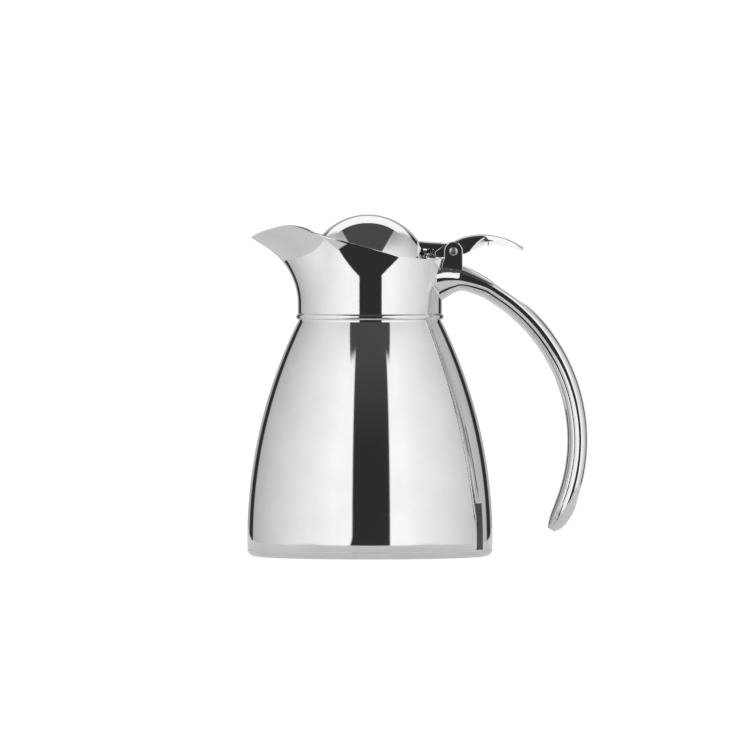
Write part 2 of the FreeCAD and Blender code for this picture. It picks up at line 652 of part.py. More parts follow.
def thumb_lever(doc):
    """A folded lever: a crowned top, two side flanges on the pin and a plate turned down at the front."""
    body = new_body(doc, "thumb_lever")
    outline = [
        ("dims.lever_nose", "dims.lever_top + 0.5"),
        ("dims.hinge_x - 2.7", "dims.lever_top - 0.6"),
        ("dims.hinge_x + 1.3", "dims.lever_top + 1.15", "via"),
        ("dims.hinge_x + 4.6", "dims.lever_top + 2.3"),
        ("dims.thumb_crest_place", "dims.thumb_crest", "via"),
        ("dims.thumb_tip - 8.4", "dims.thumb_crest - 2.1"),
        ("dims.thumb_tip - 4", "dims.thumb_tip_height + 2.75", "via"),
        ("dims.thumb_tip - 0.2", "dims.thumb_tip_height + 0.9"),
        ("dims.thumb_tip", "dims.thumb_tip_height", "via"),
        ("dims.thumb_tip - 0.8", "dims.thumb_tip_height - 1.5"),
        ("dims.thumb_tip - 8", "dims.thumb_tip_height + 1.1", "via"),
        ("dims.thumb_tip - 16.5", "dims.thumb_tip_height + 1.6"),
        ("dims.hinge_x + 11.3", "dims.hinge_z + 1.25", "via"),
        ("dims.hinge_x + 4.9", "dims.hinge_z - 1.75"),
        ("dims.hinge_x + 1.4", "dims.hinge_z - 2.6"),
        ("dims.hinge_x - 3", "dims.hinge_z - 2.6"),
        ("dims.plate_front + 1.7", "dims.plate_foot"),
        ("dims.plate_front", "dims.plate_foot"),
        ("dims.plate_front", "dims.lever_top - 1.3"),
        ("dims.lever_nose + 1.2", "dims.lever_top - 0.9"),
    ]
    extrude(body, "lever_block", "Pad", "XZ_Plane", outline, "2 * dims.thumb_half_width")
    doc.recompute()
    whole = body.Shape.Volume
    waist = "dims.hinge_x + 8"
    pad = "dims.hinge_x + 18"
    for name, side in (("left", 1), ("right", -1)):
        beyond = f"{side} * 2 * dims.thumb_half_width"
        narrow = f"{side} * dims.lever_half_width"
        extrude(body, "plan_" + name, "Pocket", "XY_Plane", [
            ("dims.lever_nose - 5", narrow),
            (waist, narrow),
            (f"({waist} + {pad}) / 2", f"{side} * (dims.thumb_half_width - 0.8)", "via"),
            (pad, f"{side} * dims.thumb_half_width"),
            ("dims.thumb_tip - 3.2", f"{side} * (dims.thumb_half_width - 2.3)", "via"),
            ("dims.thumb_tip + 0.4", f"{side} * 2"),
            ("dims.thumb_tip + 6", f"{side} * 2"),
            ("dims.thumb_tip + 6", beyond),
            ("dims.lever_nose - 5", beyond),
        ], "8 * dims.hinge_z")
    # the hollow between the flanges, open below
    extrude(body, "lever_hollow", "Pocket", "XZ_Plane", [
        ("dims.plate_front + dims.lever_sheet", "dims.plate_foot - 4"),
        ("dims.plate_front + dims.lever_sheet", "dims.lever_top - dims.lever_sheet - 0.1"),
        ("dims.hinge_x - 2.4", "dims.lever_top - dims.lever_sheet - 0.5"),
        ("dims.hinge_x + 5", "dims.lever_top + 1.1"),
        ("dims.thumb_crest_place - 3", "dims.thumb_crest - 1.9"),
        ("dims.thumb_crest_place + 6", "dims.thumb_tip_height - 1"),
        ("dims.hinge_x + 8", "dims.plate_foot - 4"),
    ], "2 * (dims.lever_half_width - dims.lever_sheet)")
    bore(body, "pin_bore", "XZ_Plane", "dims.hinge_x", "dims.hinge_z",
         "dims.pin_radius + dims.pin_clearance", "4 * dims.cheek_gap")
    bore(body, "screw_bore", "YZ_Plane", "0", "dims.screw_height", "dims.screw_radius",
         "2 * dims.hinge_x")
    doc.recompute()
    if body.Shape.Volume > 0.8 * whole:
        raise RuntimeError("thumb_lever: its pockets cut too little")
    return body


# ---- lid ---------------------------------------------------------------------------------------

def on_lid_axis(body):
    body.setExpression("Placement.Base.x", "dims.lid_shift")
    return body


def dome_arc(radius):
    """The quarter arc of the dome, from its top down to its widest point."""
    return [
        ("0", f"dims.lid_centre + {radius}"),
        (f"({radius}) * sin(45)", f"dims.lid_centre + ({radius}) * cos(45)", "via"),
        (f"{radius}", "dims.lid_centre"),
    ]


def lid_dome(doc):
    body = new_body(doc, "lid_dome")
    inside = "dims.lid_radius - dims.lid_sheet"
    profile = dome_arc("dims.lid_radius")
    profile += [("dims.lid_radius", "dims.lid_rim"), (inside, "dims.lid_rim")]
    profile += list(reversed(dome_arc(inside)))
    revolve(body, "dome", profile)
    # the screw hole through the back of the dome
    bore(body, "dome_bore", "YZ_Plane", "0", "dims.screw_height", "dims.screw_radius", "1")
    body.Tip.Midplane = False
    body.Tip.Reversed = True
    body.Tip.setExpression("Length", "2 * dims.lid_radius")
    return on_lid_axis(body)


def lid_pan(doc):
    """The moulded underside of the lid: a plug that reaches into the mouth and a rim that the dome fits."""
    body = new_body(doc, "lid_pan")
    seat = "dims.lip_height + dims.sheet + dims.gasket_lift"
    ledge = f"({seat} + dims.gasket_depth)"
    wall = "dims.lid_radius - dims.lid_sheet - 0.02"
    revolve(body, "pan", [
        ("0", "dims.pan_floor"),
        ("dims.plug_mouth", "dims.pan_floor"),
        ("dims.gasket_inner", seat),
        ("dims.gasket_inner", ledge),
        ("dims.lid_radius", ledge),
        ("dims.lid_radius", "dims.lid_rim"),
        (wall, "dims.lid_rim"),
        (wall, "dims.lid_rim + 2"),
        (f"{wall} - 1.4", "dims.lid_rim + 2"),
        (f"{wall} - 1.4", "dims.lid_rim"),
        ("dims.gasket_inner - 1.6", "dims.lid_rim"),
        ("dims.plug_mouth - 1.2", "dims.pan_floor + 1.6"),
        ("0", "dims.pan_floor + 1.6"),
    ])
    return on_lid_axis(body)


def lid_gasket(doc):
    body = new_body(doc, "lid_gasket")
    seat = "dims.lip_height + dims.sheet + dims.gasket_lift"
    revolve(body, "gasket", [
        ("dims.gasket_inner", seat),
        ("dims.gasket_outer", seat),
        ("dims.gasket_outer", f"{seat} + dims.gasket_depth"),
        ("dims.gasket_inner", f"{seat} + dims.gasket_depth"),
    ])
    return on_lid_axis(body)


def lid_insulation(doc):
    """A block of foam in the dome, small enough to leave room for the screw and its nut."""
    body = new_body(doc, "lid_insulation")
    radius = "dims.foam_radius"
    floor = "dims.lid_rim + 2.4"
    low = f"{floor} - dims.lid_centre"
    revolve(body, "foam", [
        ("0", floor),
        (f"sqrt({radius}^2 - ({low})^2)", floor),
        (f"{radius} * sin(50)", f"dims.lid_centre + {radius} * cos(50)", "via"),
        ("0", f"dims.lid_centre + {radius}"),
    ])
    return on_lid_axis(body)


def stepped_turning(doc, name, steps):
    """A turned piece along +X on the lid screw's line: steps are (start, end, outer, inner) formulas."""
    solids = []
    for number, (start, end, outer, inner) in enumerate(steps):
        rod = doc.addObject("Part::Cylinder", f"{name}_step_{number}")
        rod.Placement = FreeCAD.Placement(FreeCAD.Vector(), FreeCAD.Rotation(FreeCAD.Vector(0, 1, 0), 90))
        rod.setExpression("Radius", outer)
        rod.setExpression("Height", f"{end} - ({start})")
        rod.setExpression("Placement.Base.x", start)
        rod.setExpression("Placement.Base.z", "dims.screw_height")
        solids.append(rod)
        if inner:
            hole = doc.addObject("Part::Cylinder", f"{name}_hole_{number}")
            hole.Placement = rod.Placement
            hole.setExpression("Radius", inner)
            hole.setExpression("Height", f"{end} - ({start})")
            hole.setExpression("Placement.Base.x", start)
            hole.setExpression("Placement.Base.z", "dims.screw_height")
            cut = doc.addObject("Part::Cut", f"{name}_ring_{number}")
            cut.Base = rod
            cut.Tool = hole
            solids[-1] = cut
    if len(solids) == 1:
        solids[0].Label = name
        return solids[0]
    whole = doc.addObject("Part::MultiFuse", name)
    whole.Label = name
    whole.Shapes = solids
    return whole


def dome_back(height):
    """Where the back of the dome is at a height."""
    return f"dims.lid_shift + sqrt(dims.lid_radius^2 - ({height} - dims.lid_centre)^2)"


def screw_pieces(doc):
    back = dome_back("dims.screw_height - dims.screw_head")
    inner_face = dome_back("dims.screw_height + 3") + " - 1.2"
    plate_back = "dims.plate_front + dims.lever_sheet"
    screw = stepped_turning(doc, "lid_screw", [
        (f"{inner_face} - 2.6", plate_back, "dims.screw_radius", None),
        (plate_back, f"{plate_back} + 1.3", "dims.screw_head", None),
    ])
    nut = stepped_turning(doc, "lid_nut", [
        (f"{inner_face} - 2", inner_face, "dims.screw_head", "dims.screw_radius"),
    ])
    spacer = stepped_turning(doc, "lid_spacer", [
        (f"{back} + 0.02", f"{back} + 1", "dims.screw_head - 0.3", "dims.screw_radius"),
    ])
    washer = stepped_turning(doc, "lid_washer", [
        (f"{back} + 1", "dims.plate_front", "dims.screw_head", "dims.screw_radius"),
    ])
    return [screw, nut, spacer, washer]


# ---- the whole pot -----------------------------------------------------------------------------

def build():
    doc = FreeCAD.newDocument("coffee_pot")
    size = read_sizes(make_sheet(doc))
    outer_handle = handle_shell(doc, "handle_outer_shell", 1)
    handle_form = doc.getObject("handle_outer_shell_form")
    parts = [
        outer_shell(doc),
        base_cover(doc),
        closing_plate(doc),
        disc(doc, "vacuum_sealing_plug", "dims.plug_radius", "dims.plug_depth", "0",
             "dims.plate_height - dims.sheet - dims.plug_depth"),
        disc(doc, "getter_capsule", "dims.getter_radius", "dims.getter_depth", "dims.getter_offset",
             "dims.plate_height"),
        vessel_base(doc),
        vessel_wall(doc),
        vessel_neck(doc),
        neck_ring(doc),
        neck_sleeve(doc),
        sleeve_seal(doc),
        pouring_collar(doc, size),
        outer_handle,
        handle_shell(doc, "handle_inner_shell", -1),
        hinge_cheek(doc, "hinge_cheek_left", 1, handle_form),
        hinge_cheek(doc, "hinge_cheek_right", -1, handle_form),
        hinge_pin(doc),
        thumb_lever(doc),
        lid_dome(doc),
        lid_pan(doc),
        lid_gasket(doc),
        lid_insulation(doc),
    ]
    parts += screw_pieces(doc)
    doc.recompute()
    return doc, parts


def check(doc, parts):
    """Stops with a plain message if anything failed to build."""
    for item in doc.Objects:
        if "Invalid" in item.State or "Error" in item.State:
            raise RuntimeError(f"{item.Name} did not build: {item.State}")
    for part in parts:
        if part.Shape.isNull() or not part.Shape.isValid() or not part.Shape.Solids:
            raise RuntimeError(f"{part.Label} has no valid shape")


def write(parts):
    os.makedirs("parts", exist_ok=True)
    for part in parts:
        part.Shape.exportStep(f"parts/{part.Label}.step")
        box = part.Shape.BoundBox
        print(f"{part.Label:22s} {len(part.Shape.Solids)} solid(s) {part.Shape.Volume:9.0f} mm3"
              f"  x {box.XMin:.1f}..{box.XMax:.1f}  y {box.YMin:.1f}..{box.YMax:.1f}"
              f"  z {box.ZMin:.1f}..{box.ZMax:.1f}")


document, pot_parts = build()
check(document, pot_parts)
write(pot_parts)
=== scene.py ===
import math

import bmesh
import bpy
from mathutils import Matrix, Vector


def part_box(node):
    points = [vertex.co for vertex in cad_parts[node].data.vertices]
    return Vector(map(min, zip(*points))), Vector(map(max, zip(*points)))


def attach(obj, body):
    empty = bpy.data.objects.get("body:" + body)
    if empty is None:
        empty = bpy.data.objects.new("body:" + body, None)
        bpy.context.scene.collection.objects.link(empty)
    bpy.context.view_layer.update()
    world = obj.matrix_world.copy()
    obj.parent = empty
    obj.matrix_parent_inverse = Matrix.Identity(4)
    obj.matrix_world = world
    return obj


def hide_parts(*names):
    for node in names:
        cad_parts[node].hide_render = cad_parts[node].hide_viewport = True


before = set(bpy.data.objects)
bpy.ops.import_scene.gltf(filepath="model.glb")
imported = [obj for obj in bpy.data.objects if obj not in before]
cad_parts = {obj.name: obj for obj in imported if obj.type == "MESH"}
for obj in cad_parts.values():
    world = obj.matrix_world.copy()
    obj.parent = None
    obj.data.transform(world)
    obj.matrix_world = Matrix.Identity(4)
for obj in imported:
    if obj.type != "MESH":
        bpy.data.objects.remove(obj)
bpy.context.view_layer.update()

# Everything is in metres, in the frame of the CAD model: +Z up, the spout towards -X, the handle
# towards +X, and the pot symmetric about the XZ plane.

MM = 0.001
FINE = 192               # steps round a turned piece
SMALL_TURN = 64          # steps round a small turned piece, such as a pin or a screw
SHEET = 0.8 * MM         # thickness of the steel sheet
SEAL_DEPTH = 1.0 * MM    # how deep the seal round the neck sits in its sleeve
SAME_POINT = 1e-7        # vertices nearer than this are one


# ---- sizes read from the frame -----------------------------------------------------------------

def low(node):
    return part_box(node)[0]


def high(node):
    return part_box(node)[1]


FOOT_EDGE = low("outer_shell").z
NECK_TOP = high("outer_shell").z
RING_BOTTOM = low("neck_ring").z
RING_TOP = high("neck_ring").z
RING_RADIUS = high("neck_ring").y
NECK_RADIUS = high("sleeve_seal").y - SEAL_DEPTH
COLLAR_RADIUS = high("neck_sleeve").y + SHEET
RIM_CREST = high("pouring_collar").z
SPOUT_REACH = -low("pouring_collar").x
DOME_TOP = high("lid_dome").z
DOME_RADIUS = high("lid_dome").y
DOME_X = (high("lid_dome").x + low("lid_dome").x) / 2
DOME_RIM = low("lid_dome").z
DOME_Z = DOME_TOP - DOME_RADIUS
HINGE_X = (high("hinge_pin").x + low("hinge_pin").x) / 2
HINGE_Z = (high("hinge_pin").z + low("hinge_pin").z) / 2
PIN_END = high("hinge_pin").y
PIN_HEAD = (high("hinge_pin").z - low("hinge_pin").z) / 2
CHEEK_IN = min(abs(low("hinge_cheek_left").y), abs(high("hinge_cheek_left").y))
CHEEK_OUT = max(abs(low("hinge_cheek_left").y), abs(high("hinge_cheek_left").y))
CHEEK_TOP = high("hinge_cheek_left").z
LEVER_TIP = high("thumb_lever").x
LEVER_TOP = high("thumb_lever").z
LEVER_NOSE = low("thumb_lever").x
LEVER_FOOT = low("thumb_lever").z
THUMB_HALF = high("thumb_lever").y
SCREW_Z = (high("lid_screw").z + low("lid_screw").z) / 2

# the bell's line is an arc, upright at its widest
BODY_RADIUS = 61.3 * MM
BODY_WIDEST = 8.0 * MM
BODY_CURVE = 248.3 * MM
SHOULDER = 117.3 * MM


# ---- mesh helpers ------------------------------------------------------------------------------

def finish_mesh(name, mesh_data, body, material, sharp=35):
    """Closes the bmesh into an object that rides on a body, shaded smooth between sharp creases."""
    bmesh.ops.remove_doubles(mesh_data, verts=mesh_data.verts, dist=SAME_POINT)
    bmesh.ops.dissolve_degenerate(mesh_data, edges=mesh_data.edges, dist=SAME_POINT)
    bmesh.ops.recalc_face_normals(mesh_data, faces=mesh_data.faces)
    mesh = bpy.data.meshes.new(name)
    mesh_data.to_mesh(mesh)
    mesh_data.free()
    mesh.shade_smooth()
    mesh.set_sharp_from_angle(angle=math.radians(sharp))
    piece = bpy.data.objects.new(name, mesh)
    bpy.context.scene.collection.objects.link(piece)
    mesh.materials.append(material)
    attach(piece, body)
    return piece


def add_grid(mesh_data, rows, close_rows=False, close_columns=False):
    """Quads between rows of points, all of one length. Gives back the vertices, row by row."""
    grid = [[mesh_data.verts.new(point) for point in row] for row in rows]
    row_count = len(grid)
    column_count = len(grid[0])
    for row in range(row_count if close_rows else row_count - 1):
        for column in range(column_count if close_columns else column_count - 1):
            next_row = grid[(row + 1) % row_count]
            here = grid[row]
            after = (column + 1) % column_count
            mesh_data.faces.new((here[column], here[after], next_row[after], next_row[column]))
    return grid


def add_band(mesh_data, first, second):
    """Quads between two closed loops of vertices."""
    for index in range(len(first)):
        after = (index + 1) % len(first)
        mesh_data.faces.new((first[index], first[after], second[after], second[index]))


def add_plate(mesh_data, near, far):
    """A closed plate between two equal loops of points. Gives back both loops of vertices."""
    near_loop = [mesh_data.verts.new(point) for point in near]
    far_loop = [mesh_data.verts.new(point) for point in far]
    mesh_data.faces.new(near_loop)
    mesh_data.faces.new(far_loop)
    add_band(mesh_data, near_loop, far_loop)
    return near_loop, far_loop


def arc(centre, radius, start, end, count):
    """Points of an arc in a plane, from one angle to another in degrees. radius may be (across, up)."""
    across, up = radius if isinstance(radius, tuple) else (radius, radius)
    points = []
    for step in range(count + 1):
        angle = math.radians(start + (end - start) * step / count)
        points.append((centre[0] + across * math.cos(angle), centre[1] + up * math.sin(angle)))
    return points


def lathe(name, outline, body, material, middle=(0.0, 0.0)):
    """Turns a closed outline of (radius, height) about an upright axis."""
    mesh_data = bmesh.new()
    rows = []
    for step in range(FINE):
        angle = 2 * math.pi * step / FINE
        row = []
        for radius, height in outline:
            x = middle[0] + radius * math.cos(angle)
            y = middle[1] + radius * math.sin(angle)
            row.append((x, y, height))
        rows.append(row)
    add_grid(mesh_data, rows, close_rows=True, close_columns=True)
    return finish_mesh(name, mesh_data, body, material)


def lathe_along(name, outline, axis, origin, body, material):
    """Turns a closed outline of (radius, distance) about a level axis, "x" or "y", through origin."""
    mesh_data = bmesh.new()
    rows = []
    for step in range(SMALL_TURN):
        angle = 2 * math.pi * step / SMALL_TURN
        row = []
        for radius, distance in outline:
            side = radius * math.cos(angle)
            rise = radius * math.sin(angle)
            offset = (distance, side, rise) if axis == "x" else (side, distance, rise)
            row.append(Vector(origin) + Vector(offset))
        rows.append(row)
    add_grid(mesh_data, rows, close_rows=True, close_columns=True)
    return finish_mesh(name, mesh_data, body, material)


def rounded_slab(name, outline, inner_y, outer_y, edge, body, material):
    """A flat plate with rounded edges: an outline in the XZ plane between two distances from it."""
    mesh_data = bmesh.new()
    inner = [(x, inner_y, z) for x, z in outline]
    outer = [(x, outer_y, z) for x, z in outline]
    inner_loop, outer_loop = add_plate(mesh_data, inner, outer)
    rims = []
    for index in range(len(outline)):
        after = (index + 1) % len(outline)
        rims.append(mesh_data.edges.get((inner_loop[index], inner_loop[after])))
        rims.append(mesh_data.edges.get((outer_loop[index], outer_loop[after])))
    bmesh.ops.recalc_face_normals(mesh_data, faces=mesh_data.faces)
    bmesh.ops.bevel(mesh_data, geom=rims, offset=edge, segments=4, profile=0.5, affect="EDGES")
    keep_flat(mesh_data)
    return finish_mesh(name, mesh_data, body, material, sharp=50)


def keep_flat(mesh_data):
    """Rings the two large faces of a slab with a narrow coplanar border, so that they shade flat."""
    border = 0.03 * MM
    largest = sorted(mesh_data.faces, key=lambda face: face.calc_area())[-2:]
    for face in largest:
        bmesh.ops.inset_individual(mesh_data, faces=[face], thickness=border)


def smooth_path(keys, place):
    """Catmull-Rom interpolation through a list of equal tuples, at a place from 0 to len - 1."""
    last = len(keys) - 1
    start = min(int(place), last - 1)
    share = place - start
    before = keys[max(start - 1, 0)]
    first = keys[start]
    second = keys[start + 1]
    beyond = keys[min(start + 2, last)]
    values = []
    for p0, p1, p2, p3 in zip(before, first, second, beyond):
        bend = 2 * p0 - 5 * p1 + 4 * p2 - p3
        twist = 3 * (p1 - p2) + p3 - p0
        values.append(p1 + 0.5 * share * (p2 - p0 + share * (bend + share * twist)))
    return values


# ---- materials ---------------------------------------------------------------------------------

# nearly all values of a noise lie between these
NOISE_LOW = 0.3
NOISE_HIGH = 0.7


def new_material(name):
    material = bpy.data.materials.new(name)
    material.use_nodes = True
    nodes = material.node_tree.nodes
    return material, nodes, material.node_tree.links, nodes["Principled BSDF"]


def noise_node(nodes, links, scale, detail=4.0, stretch=None):
    """Noise over the object's own coordinates, stretched along an axis if asked."""
    coordinates = nodes.new("ShaderNodeTexCoord")
    mapping = nodes.new("ShaderNodeMapping")
    mapping.inputs["Scale"].default_value = stretch or (1.0, 1.0, 1.0)
    noise = nodes.new("ShaderNodeTexNoise")
    noise.inputs["Scale"].default_value = scale
    noise.inputs["Detail"].default_value = detail
    links.new(coordinates.outputs["Object"], mapping.inputs["Vector"])
    links.new(mapping.outputs["Vector"], noise.inputs["Vector"])
    return noise


def spread(nodes, links, source, darkest, lightest):
    """Maps a noise to a range of values."""
    mapped = nodes.new("ShaderNodeMapRange")
    mapped.inputs["From Min"].default_value = NOISE_LOW
    mapped.inputs["From Max"].default_value = NOISE_HIGH
    mapped.inputs["To Min"].default_value = darkest
    mapped.inputs["To Max"].default_value = lightest
    links.new(source.outputs["Fac"], mapped.inputs["Value"])
    return mapped


def tint(nodes, links, source, dark, light):
    """Maps a noise to colours between two."""
    ramp = nodes.new("ShaderNodeValToRGB")
    darkest, lightest = ramp.color_ramp.elements
    darkest.position = NOISE_LOW
    darkest.color = (*dark, 1.0)
    lightest.position = NOISE_HIGH
    lightest.color = (*light, 1.0)
    links.new(source.outputs["Fac"], ramp.inputs["Fac"])
    return ramp


def add_bump(nodes, links, shader, source, strength, distance):
    """Raises the surface by a noise, up to a distance."""
    bump = nodes.new("ShaderNodeBump")
    bump.inputs["Strength"].default_value = strength
    bump.inputs["Distance"].default_value = distance
    links.new(source.outputs["Fac"], bump.inputs["Height"])
    links.new(bump.outputs["Normal"], shader.inputs["Normal"])


def polished_steel(name, stretch=(1.0, 1.0, 14.0), smoothest=0.03, roughest=0.07):
    """Mirror-polished stainless sheet: faint polishing lines, light haze and a hint of unevenness."""
    material, nodes, links, shader = new_material(name)
    shader.inputs["Metallic"].default_value = 1.0
    haze = noise_node(nodes, links, 60.0)
    lines = noise_node(nodes, links, 900.0, 3.0, stretch)
    colour = tint(nodes, links, haze, (0.80, 0.80, 0.797), (0.86, 0.86, 0.858))
    links.new(colour.outputs["Color"], shader.inputs["Base Color"])
    roughness = spread(nodes, links, lines, smoothest, roughest)
    links.new(roughness.outputs["Result"], shader.inputs["Roughness"])
    add_bump(nodes, links, shader, lines, 0.02, 0.05 * MM)
    return material


def brushed_steel(name):
    """Unpolished stainless steel, with brush lines round its upright axis."""
    material, nodes, links, shader = new_material(name)
    shader.inputs["Metallic"].default_value = 1.0
    lines = noise_node(nodes, links, 500.0, 5.0, (1.0, 1.0, 60.0))
    colour = tint(nodes, links, lines, (0.52, 0.52, 0.515), (0.66, 0.66, 0.655))
    links.new(colour.outputs["Color"], shader.inputs["Base Color"])
    roughness = spread(nodes, links, lines, 0.22, 0.38)
    links.new(roughness.outputs["Result"], shader.inputs["Roughness"])
    add_bump(nodes, links, shader, lines, 0.15, 0.1 * MM)
    return material


def matte(name, dark, light, grain, roughest, strength=0.2):
    """Moulded plastic, silicone or foam: fine grain with slightly uneven colour and gloss."""
    material, nodes, links, shader = new_material(name)
    noise = noise_node(nodes, links, grain)
    colour = tint(nodes, links, noise, dark, light)
    links.new(colour.outputs["Color"], shader.inputs["Base Color"])
    roughness = spread(nodes, links, noise, roughest - 0.15, roughest)
    links.new(roughness.outputs["Result"], shader.inputs["Roughness"])
    add_bump(nodes, links, shader, noise, strength, 0.2 * MM)
    return material


STEEL = polished_steel("polished_steel")
HANDLE_STEEL = polished_steel("handle_steel", (3.0, 3.0, 3.0), 0.04, 0.09)
LEVER_STEEL = polished_steel("lever_steel", (14.0, 2.0, 2.0), 0.035, 0.08)
PIN_STEEL = polished_steel("turned_steel", (4.0, 4.0, 4.0), 0.10, 0.18)
PLAIN_STEEL = brushed_steel("plain_steel")
BLACK_PLASTIC = matte("black_plastic", (0.012, 0.012, 0.012), (0.03, 0.03, 0.03), 1500.0, 0.55)
SILICONE = matte("silicone", (0.08, 0.08, 0.08), (0.13, 0.13, 0.13), 900.0, 0.7)
FOAM = matte("foam", (0.70, 0.67, 0.58), (0.82, 0.80, 0.72), 700.0, 0.95, 0.8)
GETTER = matte("getter_metal", (0.18, 0.18, 0.19), (0.30, 0.30, 0.31), 1200.0, 0.6, 0.5)
SEALANT = matte("sealing_glass", (0.22, 0.27, 0.26), (0.34, 0.40, 0.38), 400.0, 0.25)
# painted reflection: the dark colour of the handle's lower tip as it mirrors in the bell, put on a thin
# patch of its own
PAINTED_REFLECTION = matte("painted_handle_reflection", (0.02, 0.02, 0.02), (0.035, 0.035, 0.035), 900.0, 0.4)


def paint_cad_nodes():
    """Gives the nodes that no new piece replaces their finish."""
    finishes = {
        "vacuum_closing_plate": PLAIN_STEEL,
        "vacuum_sealing_plug": SEALANT,
        "getter_capsule": GETTER,
        "inner_vessel_base": PLAIN_STEEL,
        "inner_vessel_wall": PLAIN_STEEL,
        "inner_vessel_neck": PLAIN_STEEL,
        "neck_sleeve": BLACK_PLASTIC,
        "sleeve_seal": SILICONE,
        "lid_pan": BLACK_PLASTIC,
        "lid_gasket": SILICONE,
        "lid_insulation": FOAM,
        "lid_nut": PLAIN_STEEL,
    }
    for node, material in finishes.items():
        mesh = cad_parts[node].data
        mesh.materials.clear()
        mesh.materials.append(material)


# ---- bell and foot -----------------------------------------------------------------------------

def bell_radius(height):
    """The radius of the bell at a height: one arc, upright at its widest."""
    return BODY_RADIUS - BODY_CURVE + math.sqrt(BODY_CURVE**2 - (height - BODY_WIDEST) ** 2)


def bell_line(inset):
    """The line of the bell from foot to shoulder, as (radius, height)."""
    steps = 60
    line = []
    for step in range(steps + 1):
        height = FOOT_EDGE + (SHOULDER - FOOT_EDGE) * step / steps
        line.append((bell_radius(height) - inset, height))
    return line


def make_bell():
    """The outer wall: the bell, a fine groove under the ring, and the neck tube."""
    groove = bell_radius(SHOULDER) - 0.4 * MM
    inner = NECK_RADIUS - SHEET
    edge = 0.25 * MM
    outline = [(bell_radius(FOOT_EDGE) - edge, FOOT_EDGE)]
    outline += bell_line(0.0)[1:]
    outline += [
        (groove, SHOULDER + 0.1 * MM),
        (groove, RING_BOTTOM),
        (NECK_RADIUS, RING_BOTTOM),
        (NECK_RADIUS, NECK_TOP),
        (inner, NECK_TOP),
        (inner, SHOULDER - SHEET),
    ]
    outline += list(reversed(bell_line(SHEET)[:-1]))
    bell = lathe("bell", outline, "jug", STEEL)
    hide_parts("outer_shell")


def make_foot():
    """The base pan: a rounded edge under a fine crease, and a shallow recess underneath."""
    edge = bell_radius(FOOT_EDGE)
    flat = 57.3 * MM
    recess = 50.0 * MM
    bend = 0.6 * MM
    bend_rise = 0.2 * MM
    outline = arc((flat, FOOT_EDGE), (edge - flat, FOOT_EDGE), 0, -90, 16)
    outline += [
        (recess + bend, 0.0),
        (recess, bend_rise),
        (recess - SHEET, SHEET),
        (0.0, SHEET),
        (0.0, 2 * SHEET),
        (recess, 2 * SHEET),
        (recess + SHEET, SHEET),
        (flat, SHEET),
    ]
    outline += arc((flat, FOOT_EDGE), (edge - flat - SHEET, FOOT_EDGE - SHEET), -80, 0, 12)
    foot = lathe("foot_pan", outline, "jug", STEEL)
    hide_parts("base_cover")


def make_ring():
    """The bright bead between bell and collar: half an ellipse that stands out from the neck."""
    height = RING_TOP - RING_BOTTOM
    middle = (RING_TOP + RING_BOTTOM) / 2
    bulge = 1.0 * MM
    outline = arc((RING_RADIUS - bulge, middle), (bulge, height / 2), -90, 90, 16)
    outline += [(NECK_RADIUS, RING_TOP), (NECK_RADIUS, RING_BOTTOM)]
    ring = lathe("neck_bead", outline, "jug", STEEL)
    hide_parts("neck_ring")


# ---- collar ------------------------------------------------------------------------------------

SPOUT_START = 126.0 * MM           # height at which the front starts to lean out
SPOUT_CURVE = 33.5 * MM            # radius of the front, seen from the side
SPOUT_TURN = math.radians(57.0)    # how far it turns before the straight lip
SPOUT_SLOPE = math.radians(33.0)   # slope of the lip
SPOUT_HALF = math.radians(56.0)    # how far round the collar the spout reaches, on either side
FLARE_START = 140.0 * MM           # height at which the rest of the wall starts to flare
FLARE_SPAN = 9.2 * MM
BACK_FLARE = 1.9 * MM
SIDE_FLARE = 1.0 * MM
RIM_TIP = 159.5 * MM               # height of the spout's tip


def front_reach(height):
    """How far the front of the spout reaches: an arc, then a straight slope."""
    rise = max(0.0, height - SPOUT_START)
    arc_rise = SPOUT_CURVE * math.sin(SPOUT_TURN)
    if rise < arc_rise:
        return COLLAR_RADIUS + SPOUT_CURVE - math.sqrt(SPOUT_CURVE**2 - rise**2)
    arc_reach = COLLAR_RADIUS + SPOUT_CURVE * (1 - math.cos(SPOUT_TURN))
    return arc_reach + (rise - arc_rise) / math.tan(SPOUT_SLOPE)


def wall_reach(turn, height):
    """Distance of the wall from the axis: it flares all round, most at the back, and the spout is
    drawn out of the front. turn is 0 at the spout and pi at the back."""
    share = max(0.0, height - FLARE_START) / FLARE_SPAN
    back = max(0.0, -math.cos(turn)) ** 2
    around = COLLAR_RADIUS + (SIDE_FLARE + (BACK_FLARE - SIDE_FLARE) * back) * share**2
    away = abs(math.remainder(turn, 2 * math.pi)) / SPOUT_HALF
    if away >= 1:
        return around
    return around + (front_reach(height) - around) * math.cos(away * math.pi / 2) ** 2


def three_point_arc(first, middle, last):
    """The height of the circle through three points, as a function of x, on the side of middle."""
    (ax, az), (bx, bz), (cx, cz) = first, middle, last
    twice_area = 2 * (ax * (bz - cz) + bx * (cz - az) + cx * (az - bz))
    a2 = ax**2 + az**2
    b2 = bx**2 + bz**2
    c2 = cx**2 + cz**2
    x = (a2 * (bz - cz) + b2 * (cz - az) + c2 * (az - bz)) / twice_area
    z = (a2 * (cx - bx) + b2 * (ax - cx) + c2 * (bx - ax)) / twice_area
    radius = math.hypot(ax - x, az - z)
    sign = 1 if bz > z else -1

    def height(at):
        return z + sign * math.sqrt(max(0.0, radius**2 - (at - x) ** 2))

    return height


